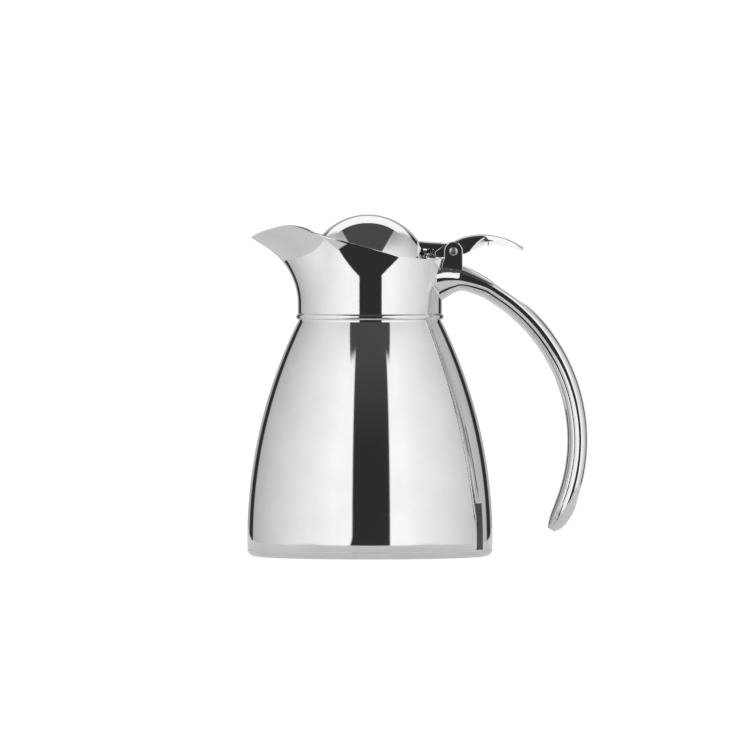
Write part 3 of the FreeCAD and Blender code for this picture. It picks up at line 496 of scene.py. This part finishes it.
def make_rim_line():
    """The rim seen from the side: rises from the spout's tip to a crest, then falls to the back."""
    tip = (-SPOUT_REACH, RIM_TIP)
    crest = (-41.0 * MM, RIM_CREST)
    fall = (-28.5 * MM, 161.9 * MM)
    side = (9.5 * MM, 151.7 * MM)
    back = (32.0 * MM, 148.4 * MM)
    heel = (COLLAR_RADIUS + 2 * BACK_FLARE, 149.2 * MM)
    lip = ((crest[0] + tip[0]) / 2, RIM_TIP + (RIM_CREST - RIM_TIP) * 0.72)
    brow = ((crest[0] + fall[0]) / 2, RIM_CREST - 0.85 * MM)
    dip = ((side[0] + back[0]) / 2, (side[1] + back[1]) / 2 - 0.55 * MM)
    lip_arc = three_point_arc(tip, lip, crest)
    brow_arc = three_point_arc(crest, brow, fall)
    dip_arc = three_point_arc(side, dip, back)

    def height(x):
        if x < crest[0]:
            return lip_arc(max(x, tip[0]))
        if x < fall[0]:
            return brow_arc(x)
        if x < side[0]:
            return fall[1] + (side[1] - fall[1]) * (x - fall[0]) / (side[0] - fall[0])
        if x < back[0]:
            return dip_arc(x)
        return back[1] + (heel[1] - back[1]) * (x - back[0]) / (heel[0] - back[0])

    return height


rim_height = make_rim_line()


def collar_point(turn, height, inset=0.0):
    """A point of the collar's wall, on its outside or set in by the thickness of the sheet."""
    reach = wall_reach(turn, height) - inset
    return Vector((-reach * math.cos(turn), reach * math.sin(turn), height))


def rim_of(turn):
    """The height at which the wall at this turn meets the rim line, found by halving."""
    halvings = 40
    lowest = RING_TOP
    highest = RIM_CREST + 3 * MM
    for _ in range(halvings):
        height = (lowest + highest) / 2
        if height < rim_height(collar_point(turn, height).x):
            lowest = height
        else:
            highest = height
    return lowest


def make_collar():
    """A thin wall with a rounded rim, on a small turned-in foot."""
    turns = 2 * FINE
    climbs = 56
    rim_steps = 6
    edge = 0.25 * MM
    rows = []
    for step in range(turns):
        turn = 2 * math.pi * step / turns
        top = rim_of(turn) - SHEET / 2
        heights = [RING_TOP + (top - RING_TOP) * climb / climbs for climb in range(climbs + 1)]
        outside = [collar_point(turn, height) for height in heights]
        inside = [collar_point(turn, height, SHEET) for height in reversed(heights)]
        middle = (outside[-1] + inside[0]) / 2
        half = (outside[-1] - inside[0]) / 2
        slope = (outside[-1] - outside[-2]).normalized()
        rim = []
        for part in range(1, rim_steps):
            angle = math.pi * part / rim_steps
            rim.append(middle + half * math.cos(angle) + slope * half.length * math.sin(angle))
        outward = Vector((outside[0].x, outside[0].y, 0)).normalized()
        outside[0] = outside[0] - outward * edge
        outside.insert(1, collar_point(turn, RING_TOP + edge))
        rows.append(outside + rim + inside)
    mesh_data = bmesh.new()
    add_grid(mesh_data, rows, close_rows=True, close_columns=True)
    collar = finish_mesh("spouted_collar", mesh_data, "jug", STEEL, sharp=40)
    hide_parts("pouring_collar")


# ---- handle ------------------------------------------------------------------------------------

HANDLE_X = 17.5 * MM        # centre of the grip's arc
HANDLE_Z = 58.0 * MM
HANDLE_SEAM = 85.2 * MM     # radius of the seam between the two shells
GRIP_HALF = 11.0 * MM       # half the width of the grip
OUTER_RISE = 6.0 * MM       # how far the back shell stands out from the seam
INNER_RISE = 4.0 * MM       # how far the front shell stands in
GRIP_CURL = 2.0 * MM        # how high above the seam the back shell is widest
GRIP_SPREAD = 0.8 * MM      # how far it is wider there than at the seam
SCOOP_DEPTH = 2.4 * MM      # the hollow under the thumb pad, for the lever when the lid is open
SCOOP_ANGLE = 55.0
SCOOP_SPREAD = 5.5


def grip_key(angle, width=1.0, inner=1.0, outer=1.0):
    """A section square to the grip's arc: seam point, lean, half width, rises, dish of the crown, and
    how high above the seam and how far beyond it the back shell is widest."""
    scoop = SCOOP_DEPTH * math.exp(-(((angle - SCOOP_ANGLE) / SCOOP_SPREAD) ** 2))
    x = HANDLE_X + HANDLE_SEAM * math.cos(math.radians(angle))
    z = HANDLE_Z + HANDLE_SEAM * math.sin(math.radians(angle))
    return (x, z, 90 - angle, GRIP_HALF * width, OUTER_RISE * outer, INNER_RISE * inner, scoop,
            GRIP_CURL * width, GRIP_SPREAD * width)


def root_key(beyond, height, half, outer, inner, curl, spread):
    """An upright section at a distance beyond the collar's wall, in millimetres."""
    x = COLLAR_RADIUS + beyond * MM
    sizes = [value * MM for value in (half, outer, inner, 0.0, curl, spread)]
    return (x, height * MM, 0.0, *sizes)


def handle_keys():
    """Sections from the leaf-shaped root along the even grip to the tip, rounded like a spoon."""
    keys = [
        root_key(-4.2, 130.6, 14.1, 14.8, 5.2, 8.2, 3.6),
        root_key(1.0, 133.4, 13.0, 12.3, 4.9, 6.0, 2.7),
        root_key(6.0, 135.2, 11.9, 10.1, 3.6, 3.9, 1.7),
        root_key(11.0, 135.9, 11.1, 8.9, 3.3, 2.6, 1.0),
    ]
    keys += [grip_key(angle) for angle in range(62, -19, -5)]
    keys += [
        grip_key(-22.5, 0.96, 0.98, 1.08),
        grip_key(-26.5, 0.83, 0.88, 0.98),
        grip_key(-29.5, 0.62, 0.65, 0.75),
        grip_key(-31.5, 0.34, 0.36, 0.4),
    ]
    return keys


def handle_frame(key):
    """Maps (across, out) in a section to a point of the pot."""
    x, z, lean = key[0], key[1], math.radians(key[2])

    def point(across, out):
        return Vector((x + out * math.sin(lean), across, z + out * math.cos(lean)))

    return point


def rounded_quarter(half, rise, fullness, count):
    """From the widest point up to the crown: fuller than an ellipse, so the side stands upright."""
    points = []
    for step in range(count + 1):
        angle = math.pi / 2 * step / count
        across = half * math.cos(angle) ** (2 / fullness)
        points.append((across, rise * math.sin(angle) ** (2 / fullness)))
    return points


def outer_section(key, inset, count):
    """The back shell: it stands out above the seam to its widest, and has a broad crown that may be
    dished."""
    side_steps = 8
    fullness = 2.75
    dish_share = 0.86
    half = max(key[3] - inset, 0.4 * MM)
    curl = key[7]
    crown = max(key[4] - curl - inset, 0.3 * MM)
    right = []
    for step in range(side_steps):
        share = 1 - step / side_steps
        right.append((max(half - key[8] * share ** 1.6, 0.2 * MM), curl * step / side_steps))
    for across, up in rounded_quarter(half, crown, fullness, count):
        dish = key[6] * max(0.0, 1 - (across / (dish_share * half)) ** 2)
        right.append((across, curl + up - dish))
    left = [(-across, up) for across, up in reversed(right[:-1])]
    return right + left


def inner_section(key, inset, count):
    """The front shell: a fine edge under the seam, then a broad flat round."""
    edge_steps = 4
    fullness = 2.25
    half = max(key[3] - key[8] - inset + 0.1 * MM, 0.4 * MM)
    rise = max(key[5] - inset, 0.3 * MM)
    edge = 0.25 * MM
    right = []
    for step in range(edge_steps):
        share = step / edge_steps
        right.append((half - 0.15 * MM * (1 - share) ** 2, -edge * share))
    for across, down in rounded_quarter(half, rise - edge, fullness, count):
        right.append((across, -edge - down))
    left = [(-across, down) for across, down in reversed(right[:-1])]
    return right + left


def handle_rows(section, inset, steps, count):
    """One shell's sections, all along the handle."""
    keys = handle_keys()
    rows = []
    for step in range(steps + 1):
        key = smooth_path(keys, (len(keys) - 1) * step / steps)
        point = handle_frame(key)
        rows.append([point(across, out) for across, out in section(key, inset, count)])
    return rows


def make_handle_shell(name, node, section):
    """A pressed shell: a skin, the same skin set in by the sheet, and both ends closed between them."""
    steps = 260
    count = 24
    outside = handle_rows(section, 0.0, steps, count)
    inside = handle_rows(section, SHEET, steps, count)
    mesh_data = bmesh.new()
    rows = [out_row + list(reversed(in_row)) for out_row, in_row in zip(outside, inside)]
    grid = add_grid(mesh_data, rows, close_columns=True)
    mesh_data.faces.new(grid[-1])
    mesh_data.faces.new(grid[0])
    shell = finish_mesh(name, mesh_data, "jug", HANDLE_STEEL, sharp=40)
    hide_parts(node)


def make_handle():
    make_handle_shell("handle_back", "handle_outer_shell", outer_section)
    make_handle_shell("handle_front", "handle_inner_shell", inner_section)


# ---- hinge -------------------------------------------------------------------------------------

def make_cheeks():
    """Two ears with a rounded top, welded to the collar in front and to the handle below."""
    radius = CHEEK_TOP - HINGE_Z
    edge = 0.35 * MM
    outline = arc((HINGE_X, HINGE_Z), radius, 0, 180, 40)
    outline += [
        (HINGE_X - radius, 149.0 * MM),
        (36.3 * MM, 147.0 * MM),
        (35.4 * MM, 143.8 * MM),
        (34.6 * MM, 139.4 * MM),
        (35.5 * MM, 137.5 * MM),
        (HINGE_X + radius, 136.5 * MM),
    ]
    for name, side in (("hinge_cheek_left", 1), ("hinge_cheek_right", -1)):
        cheek = rounded_slab(name.replace("hinge", "rounded"), outline, side * CHEEK_IN,
                             side * CHEEK_OUT, edge, "jug", LEVER_STEEL)
        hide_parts(name)


def make_pin():
    """A riveted pin: the shank ends in two slightly domed heads."""
    shank = 1.5 * MM
    upright = 0.2 * MM
    crown = (0.0, PIN_END)
    brow = (PIN_HEAD * 0.62, PIN_END - 0.08 * MM)
    cheek = (PIN_HEAD * 0.9, PIN_END - 0.25 * MM)
    rim = (PIN_HEAD, CHEEK_OUT + upright)
    far_half = [(shank, CHEEK_OUT), (PIN_HEAD, CHEEK_OUT), rim, cheek, brow, crown]
    near_half = [(radius, -distance) for radius, distance in reversed(far_half)]
    pin = lathe_along("riveted_pin", near_half + far_half, "y", (HINGE_X, 0, HINGE_Z), "jug",
                      PLAIN_STEEL)
    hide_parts("hinge_pin")


# ---- lid ---------------------------------------------------------------------------------------

def make_dome():
    """The domed cover of the lid, with a short upright rim."""
    sheet = 0.7 * MM
    edge = 0.2 * MM
    outline = arc((0.0, DOME_Z), DOME_RADIUS, 90, 0, 90)
    outline += [(DOME_RADIUS, DOME_RIM + edge), (DOME_RADIUS - edge, DOME_RIM)]
    outline += [(DOME_RADIUS - sheet, DOME_RIM)]
    outline += arc((0.0, DOME_Z), DOME_RADIUS - sheet, 0, 90, 60)
    dome = lathe("polished_dome", outline, "lid", STEEL, middle=(DOME_X, 0.0))
    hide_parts("lid_dome")


def lever_top_height(x):
    """The line of the lever's top along its middle."""
    keys = [
        (24.6, 157.55), (29.0, 157.15), (34.0, 156.9), (38.6, 156.6), (42.0, 157.6), (46.3, 159.35),
        (51.0, 160.4), (56.5, LEVER_TOP / MM - 0.02), (62.0, 160.2), (68.0, 158.8), (72.5, 156.8),
        (76.3, 154.7),
    ]
    return line_height(keys, x)


def line_height(keys, x):
    """A smooth line through (x, z) keys in millimetres."""
    x = x / MM
    if x <= keys[0][0]:
        return keys[0][1] * MM
    for index in range(len(keys) - 1):
        if x <= keys[index + 1][0]:
            share = (x - keys[index][0]) / (keys[index + 1][0] - keys[index][0])
            return smooth_path(keys, index + share)[1] * MM
    return keys[-1][1] * MM


def lever_edge_height(x):
    """The lower edge of the lever's turned-down sides."""
    keys = [
        (24.6, 154.0), (28.0, 153.6), (31.0, 153.8), (33.0, 152.4), (36.0, 151.8), (43.0, 151.4),
        (46.6, 151.0), (50.0, 152.45), (53.0, 153.65), (56.0, 154.7), (58.5, 155.3), (60.5, 155.55),
        (63.0, 155.6), (65.0, 155.3), (68.0, 154.95), (70.5, 154.3), (73.5, 153.6), (75.8, 152.95),
    ]
    return line_height(keys, x)


PAD_START = HINGE_X + 17.2 * MM    # the thumb pad has its full section from here on


def pad_half(x):
    """Half the width of the thumb pad: narrowing a little, then rounded off at the tip."""
    corner = 2.2 * MM
    taper = 0.18
    half = THUMB_HALF - taper * max(0.0, x - PAD_START)
    past = x - (LEVER_TIP - corner)
    if past > 0:
        half -= corner - math.sqrt(max(0.0, corner**2 - past**2))
    return half


# how the points of the lever's section are shared out: the top, the bend from TOP_SHARE on, and the
# upright side from SIDE_SHARE on; the lip of the thumb pad starts at LIP_SHARE
TOP_SHARE = 0.4
SIDE_SHARE = 0.7
LIP_SHARE = 0.85


def skirt_section(top, edge, half, count):
    """Half a section from the middle of the top out and down: a nearly flat top, a soft bend and an
    upright side."""
    depth = top - edge
    soft = min(1.6 * MM, depth * 0.6)
    camber = 0.25 * MM
    points = []
    for step in range(count + 1):
        share = step / count
        if share < TOP_SHARE:
            part = share / TOP_SHARE
            points.append(((half - soft) * part, top - camber * part**2))
        elif share < SIDE_SHARE:
            angle = math.pi / 2 * (share - TOP_SHARE) / (SIDE_SHARE - TOP_SHARE)
            drop = camber + (soft - camber) * (1 - math.cos(angle))
            points.append((half - soft + soft * math.sin(angle), top - drop))
        else:
            part = (share - SIDE_SHARE) / (1 - SIDE_SHARE)
            points.append((half, top - soft - (depth - soft) * part))
    return points


def pad_section(top, edge, half, lip, count):
    """Half a section of the thumb pad: a shallow arc with a thin upright lip."""
    sag = max(top - edge - lip, 0.4 * MM)
    radius = (half**2 + sag**2) / (2 * sag)
    points = []
    for step in range(count + 1):
        share = step / count
        across = half * min(1.0, share / LIP_SHARE)
        drop = radius - math.sqrt(radius**2 - across**2)
        if share > LIP_SHARE:
            drop += lip * (share - LIP_SHARE) / (1 - LIP_SHARE)
        points.append((across, top - drop))
    return points


def lever_section(x, count):
    """Half a section of the lever at x. Past the hinge its sides spread into the pad, the lower
    edge first, and the top last."""
    top_start = HINGE_X + 15.2 * MM
    edge_lead = 7.0 * MM
    narrow = CHEEK_IN - 0.45 * MM
    top = lever_top_height(x)
    edge = min(lever_edge_height(x), top - 1.2 * MM)
    lip = min(1.9 * MM, 0.5 * (top - edge))
    skirt = skirt_section(top, edge, narrow, count)
    pad = pad_section(top, edge, pad_half(x), lip, count)
    section = []
    for step in range(count + 1):
        lower = max(0.0, step / count - SIDE_SHARE) / (1 - SIDE_SHARE)
        start = top_start - edge_lead * lower
        share = min(1.0, max(0.0, (x - start) / (PAD_START - start)))
        across = skirt[step][0] + (pad[step][0] - skirt[step][0]) * share
        height = skirt[step][1] + (pad[step][1] - skirt[step][1]) * share
        section.append((across, height))
    return section


def make_lever():
    """The pressed sheet of the lever: sides turned down at the hinge, a crowned pad for the thumb."""
    steps = 200
    count = 40
    thickness = 1.1 * MM
    rows = []
    for step in range(steps + 1):
        x = LEVER_NOSE + (LEVER_TIP - LEVER_NOSE) * step / steps
        half_section = lever_section(x, count)
        edge = half_section[-1][1]
        outside = half_section + [(-across, height) for across, height in reversed(half_section[1:])]
        inside = []
        for across, height in reversed(half_section):
            inside.append((max(across - thickness, across * 0.2), max(height - thickness, edge)))
        inside += [(-across, height) for across, height in reversed(inside[:-1])]
        order = outside[: count + 1] + inside + outside[count + 1:]
        rows.append([(x, across, height) for across, height in order])
    mesh_data = bmesh.new()
    grid = add_grid(mesh_data, rows, close_columns=True)
    mesh_data.faces.new(grid[0])
    mesh_data.faces.new(grid[-1])
    sheet = finish_mesh("thumb_lever_sheet", mesh_data, "lid", LEVER_STEEL, sharp=30)
    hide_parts("thumb_lever")


def make_lever_flanges():
    """Two flanges that hold the lever on the pin, inside the cheeks."""
    foot = arc((HINGE_X, HINGE_Z), 2.9 * MM, -60, -120, 8)
    outline = [
        (34.6 * MM, 149.1 * MM),
        (33.2 * MM, 149.7 * MM),
        (32.6 * MM, 151.0 * MM),
        (32.6 * MM, 152.3 * MM),
        (38.3 * MM, 156.1 * MM),
        (44.5 * MM, 156.6 * MM),
        (46.6 * MM, 151.4 * MM),
    ] + foot
    edge = 0.2 * MM
    outer = CHEEK_IN - 0.3 * MM
    inner = outer - 1.2 * MM
    for name, side in (("left", 1), ("right", -1)):
        rounded_slab("lever_flange_" + name, outline, side * inner, side * outer, edge,
                     "lid", LEVER_STEEL)


def make_lever_plate():
    """The plate turned down at the front of the lever, that the lid screw goes through."""
    front = 31.1 * MM
    back = front + 1.2 * MM
    half = CHEEK_IN - 1.6 * MM
    top = 156.2 * MM
    corner = 2.0 * MM
    edge = 0.2 * MM
    outline = [
        (-half + corner, LEVER_FOOT),
        (half - corner, LEVER_FOOT),
        (half, LEVER_FOOT + corner),
        (half, top),
        (-half, top),
        (-half, LEVER_FOOT + corner),
    ]
    near = [(front, y, z) for y, z in outline]
    far = [(back, y, z) for y, z in outline]
    mesh_data = bmesh.new()
    add_plate(mesh_data, near, far)
    bmesh.ops.bevel(mesh_data, geom=list(mesh_data.edges), offset=edge, segments=2, affect="EDGES")
    keep_flat(mesh_data)
    finish_mesh("lever_plate", mesh_data, "lid", LEVER_STEEL, sharp=50)


def turned_on_screw(name, outline, node):
    """A turned piece on the line of the lid screw, in place of a CAD node."""
    piece = lathe_along(name, outline, "x", (0, 0, SCREW_Z), "lid", PIN_STEEL)
    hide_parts(node)


def make_lid_fastening():
    """The screw behind the dome, with its dished spacer and washer."""
    shank = 1.5 * MM
    head = high("lid_washer").z - SCREW_Z
    spacer_front = low("lid_spacer").x
    spacer_back = spacer_front + 1.0 * MM
    washer_back = high("lid_washer").x
    turned_on_screw("dished_spacer", [
        (shank, spacer_front),
        (2.4 * MM, spacer_front),
        (2.5 * MM, spacer_front + 0.3 * MM),
        (2.2 * MM, spacer_front + 0.9 * MM),
        (shank, spacer_back),
    ], "lid_spacer")
    turned_on_screw("dished_washer", [
        (shank, spacer_back),
        (2.2 * MM, spacer_back),
        (head, spacer_back + 0.5 * MM),
        (head, washer_back - 0.3 * MM),
        (head - 0.3 * MM, washer_back),
        (shank, washer_back),
    ], "lid_washer")
    tip = low("lid_screw").x
    crown = high("lid_screw").x
    seat = crown - 1.3 * MM
    slot_floor = crown - 0.6 * MM
    turned_on_screw("lid_screw_turned", [
        (0.0, tip),
        (shank - 0.3 * MM, tip),
        (shank, tip + 0.4 * MM),
        (shank, seat),
        (head, seat),
        (head, seat + 0.4 * MM),
        (head * 0.8, crown - 0.2 * MM),
        (head * 0.45, crown),
        (head * 0.4, slot_floor),
        (0.0, slot_floor),
    ], "lid_screw")


def make_lid():
    make_dome()
    make_lid_fastening()
    make_lever()
    make_lever_flanges()
    make_lever_plate()


# ---- painted reflection of the handle's tip ----------------------------------------------------

def make_painted_reflection():
    """Painted reflection of the handle's lower tip: a plain dark patch low on the bell, with no
    lettering.
    """
    middle = math.radians(-90 + 63.5)
    half_turn = 3.3 * MM / BODY_RADIUS
    bottom = 3.9 * MM
    top = 27.0 * MM
    proud = 0.06 * MM
    sunk = 0.9985         # its underside is this share of its distance from the axis
    steps_up = 12
    steps_across = 8
    rows = []
    for up in range(steps_up + 1):
        height = bottom + (top - bottom) * up / steps_up
        row = []
        for across in range(steps_across + 1):
            angle = middle + half_turn * (2 * across / steps_across - 1)
            radius = bell_radius(height) + proud
            row.append((radius * math.cos(angle), radius * math.sin(angle), height))
        rows.append(row)
    mesh_data = bmesh.new()
    outer = add_grid(mesh_data, rows)
    inner = add_grid(mesh_data, [[(x * sunk, y * sunk, z) for x, y, z in row] for row in rows])
    add_band(mesh_data, boundary(outer), boundary(inner))
    # the patch shows the handle's dark tip as a painted reflection
    finish_mesh("painted_reflection_patch", mesh_data, "jug", PAINTED_REFLECTION, sharp=50)


def boundary(grid):
    """The rim of a grid of vertices, once round."""
    right = [row[-1] for row in grid[1:-1]]
    left = [row[0] for row in reversed(grid[1:-1])]
    return grid[0] + right + list(reversed(grid[-1])) + left


# ---- studio ------------------------------------------------------------------------------------

WHITE = (1.0, 1.0, 1.0, 1.0)
BACKGROUND = 1.02        # how bright the plain background and the table look to the camera
DARK = 0.03              # how bright the dark parts of the room are


def make_floor():
    """A small pale table top, that runs into the white background."""
    half, front, rear = 0.22, -0.18, 0.6
    corners = [(-half, front, 0), (half, front, 0), (half, rear, 0), (-half, rear, 0)]
    mesh = bpy.data.meshes.new("table")
    mesh.from_pydata(corners, [], [(0, 1, 2, 3)])
    table = bpy.data.objects.new("table", mesh)
    bpy.context.scene.collection.objects.link(table)
    material, nodes, links, shader = new_material("pale_table")
    shader.inputs["Base Color"].default_value = (0.86, 0.86, 0.86, 1.0)
    shader.inputs["Roughness"].default_value = 0.9
    shader.inputs["Emission Color"].default_value = WHITE
    shader.inputs["Emission Strength"].default_value = 0.22
    path = nodes.new("ShaderNodeLightPath")
    glow = nodes.new("ShaderNodeEmission")
    glow.inputs["Strength"].default_value = BACKGROUND
    mix = nodes.new("ShaderNodeMixShader")
    links.new(path.outputs["Is Camera Ray"], mix.inputs["Fac"])
    links.new(shader.outputs["BSDF"], mix.inputs[1])
    links.new(glow.outputs["Emission"], mix.inputs[2])
    links.new(mix.outputs["Shader"], nodes["Material Output"].inputs["Surface"])
    mesh.materials.append(material)


class Studio:
    """Builds the world shader from plain arithmetic on the direction of the light."""

    def __init__(self):
        world = bpy.data.worlds.new("studio")
        bpy.context.scene.world = world
        world.use_nodes = True
        self.nodes = world.node_tree.nodes
        self.links = world.node_tree.links
        coordinates = self.nodes.new("ShaderNodeTexCoord")
        split = self.nodes.new("ShaderNodeSeparateXYZ")
        self.links.new(coordinates.outputs["Generated"], split.inputs["Vector"])
        self.x = split.outputs["X"]
        self.y = split.outputs["Y"]
        self.z = split.outputs["Z"]

    def math(self, operation, *values):
        """One step of arithmetic on sockets or plain numbers."""
        node = self.nodes.new("ShaderNodeMath")
        node.operation = operation
        for index, value in enumerate(values):
            if isinstance(value, (int, float)):
                node.inputs[index].default_value = value
            else:
                self.links.new(value, node.inputs[index])
        return node.outputs["Value"]

    def add(self, first, second):
        return self.math("ADD", first, second)

    def less(self, first, second):
        return self.math("SUBTRACT", first, second)

    def times(self, first, second):
        return self.math("MULTIPLY", first, second)

    def ramp(self, value, start, end, first, last, change="SMOOTHSTEP"):
        """first at start, last at end, and a smooth or even change between."""
        node = self.nodes.new("ShaderNodeMapRange")
        node.interpolation_type = change
        self.links.new(value, node.inputs["Value"])
        node.inputs["From Min"].default_value = start
        node.inputs["From Max"].default_value = end
        node.inputs["To Min"].default_value = first
        node.inputs["To Max"].default_value = last
        return node.outputs["Result"]

    def mix(self, share, first, second):
        """first where share is 0, second where it is 1."""
        rest = self.less(1.0, share)
        return self.add(self.times(rest, first), self.times(share, second))


def wall_light(studio, side, bearing, elevation, past_panel):
    """The two walls, dimmer behind the pot and high up, a narrow dark gap behind each of them, the
    grey backdrop between the gaps, and a bright band high above the backdrop."""
    walls = studio.ramp(bearing, 36, 143, 1.10, 0.50, "LINEAR")
    walls = studio.times(walls, studio.ramp(studio.z, 0.60, 0.88, 1.0, 0.62))
    walls = studio.mix(studio.ramp(bearing, 143, 146, 0, 1), walls, DARK)
    backdrop = studio.mix(studio.ramp(bearing, 157, 160, 0, 1), walls, 0.44)
    behind = studio.ramp(studio.y, 0.0, 0.15, 0, 1)
    overhead = studio.times(behind, studio.ramp(elevation, 23, 27, 0, 1))
    overhead = studio.times(overhead, studio.ramp(side, 0.44, 0.56, 1, 0))
    overhead = studio.times(overhead, past_panel)
    return studio.mix(overhead, backdrop, 1.1)


def dark_parts(studio, side, past_panel):
    """1 on the straight-sided panel overhead and in the gap that runs down from it behind the camera,
    a little to one side."""
    beside_panel = studio.less(side, studio.times(studio.z, 0.575))
    before_panel = studio.add(studio.y, studio.z)
    panel = studio.ramp(beside_panel, -0.008, 0.008, 1, 0)
    panel = studio.times(panel, studio.ramp(before_panel, -0.05, 0.05, 0, 1))
    panel = studio.times(panel, studio.less(1.0, past_panel))
    off_centre = studio.math("ABSOLUTE", studio.less(studio.x, 0.02))
    gap = studio.ramp(off_centre, 0.295, 0.315, 1, 0)
    gap = studio.times(gap, studio.ramp(studio.y, -0.05, 0.05, 1, 0))
    return studio.math("MAXIMUM", panel, gap)


def make_world():
    """Two large soft walls of light that stop short of the table, a dark gap behind the camera that
    widens overhead, two narrow dark gaps behind the pot, and a plain grey backdrop. The camera itself
    sees a plain white background."""
    studio = Studio()
    side = studio.math("ABSOLUTE", studio.x)
    toward_camera = studio.times(studio.y, -1.0)
    # bearing: 0 behind the camera and 180 behind the pot, on either side; elevation above level
    bearing = studio.times(studio.math("ARCTAN2", side, toward_camera), 180 / math.pi)
    elevation = studio.times(studio.math("ARCSINE", studio.z), 180 / math.pi)

    # the far edge of the panel overhead
    panel_end = studio.add(studio.times(studio.z, 0.555), studio.times(side, 0.12))
    past_panel = studio.ramp(studio.less(studio.y, panel_end), -0.01, 0.01, 0, 1)

    upper = wall_light(studio, side, bearing, elevation, past_panel)
    dark = dark_parts(studio, side, past_panel)
    upper = studio.mix(dark, upper, studio.ramp(studio.z, 0.3, 0.8, DARK, 0.075))

    # it is dark below the lower edge of the walls, which drops away to the sides
    wall_foot = studio.times(studio.less(bearing, 16.0), -0.88)
    wall_foot = studio.math("MINIMUM", wall_foot, 0.0)
    below = studio.ramp(studio.less(wall_foot, elevation), -0.4, 0.4, 0, 1)
    surround = studio.mix(below, upper, DARK)

    background = studio.nodes["Background"]
    background.inputs["Color"].default_value = WHITE
    studio.links.new(surround, background.inputs["Strength"])
    plain = studio.nodes.new("ShaderNodeBackground")
    plain.inputs["Color"].default_value = WHITE
    plain.inputs["Strength"].default_value = BACKGROUND
    path = studio.nodes.new("ShaderNodeLightPath")
    choice = studio.nodes.new("ShaderNodeMixShader")
    studio.links.new(path.outputs["Is Camera Ray"], choice.inputs["Fac"])
    studio.links.new(background.outputs["Background"], choice.inputs[1])
    studio.links.new(plain.outputs["Background"], choice.inputs[2])
    studio.links.new(choice.outputs["Shader"], studio.nodes["World Output"].inputs["Surface"])


def make_camera():
    """A long lens, a little above the table, so the pot is seen almost square on."""
    distance = 6.5
    height = 0.2
    middle_x = 2.55 * MM
    middle_z = 90.5 * MM
    frame_width = 0.375
    aim = Vector((middle_x, 0.0, middle_z))
    place = Vector((middle_x, -distance, height))
    data = bpy.data.cameras.new("camera")
    data.sensor_width = 36.0
    data.lens = data.sensor_width * (aim - place).length / frame_width
    data.clip_end = 50.0
    camera = bpy.data.objects.new("camera", data)
    camera.location = place
    camera.rotation_euler = (aim - place).to_track_quat("-Z", "Y").to_euler()
    bpy.context.scene.collection.objects.link(camera)
    bpy.context.scene.camera = camera
    bpy.context.scene.view_settings.view_transform = "Standard"


# ---- the pot -----------------------------------------------------------------------------------

paint_cad_nodes()
make_bell()
make_foot()
make_ring()
make_collar()
make_handle()
make_cheeks()
make_pin()
make_lid()
make_painted_reflection()
make_floor()
make_world()
make_camera()
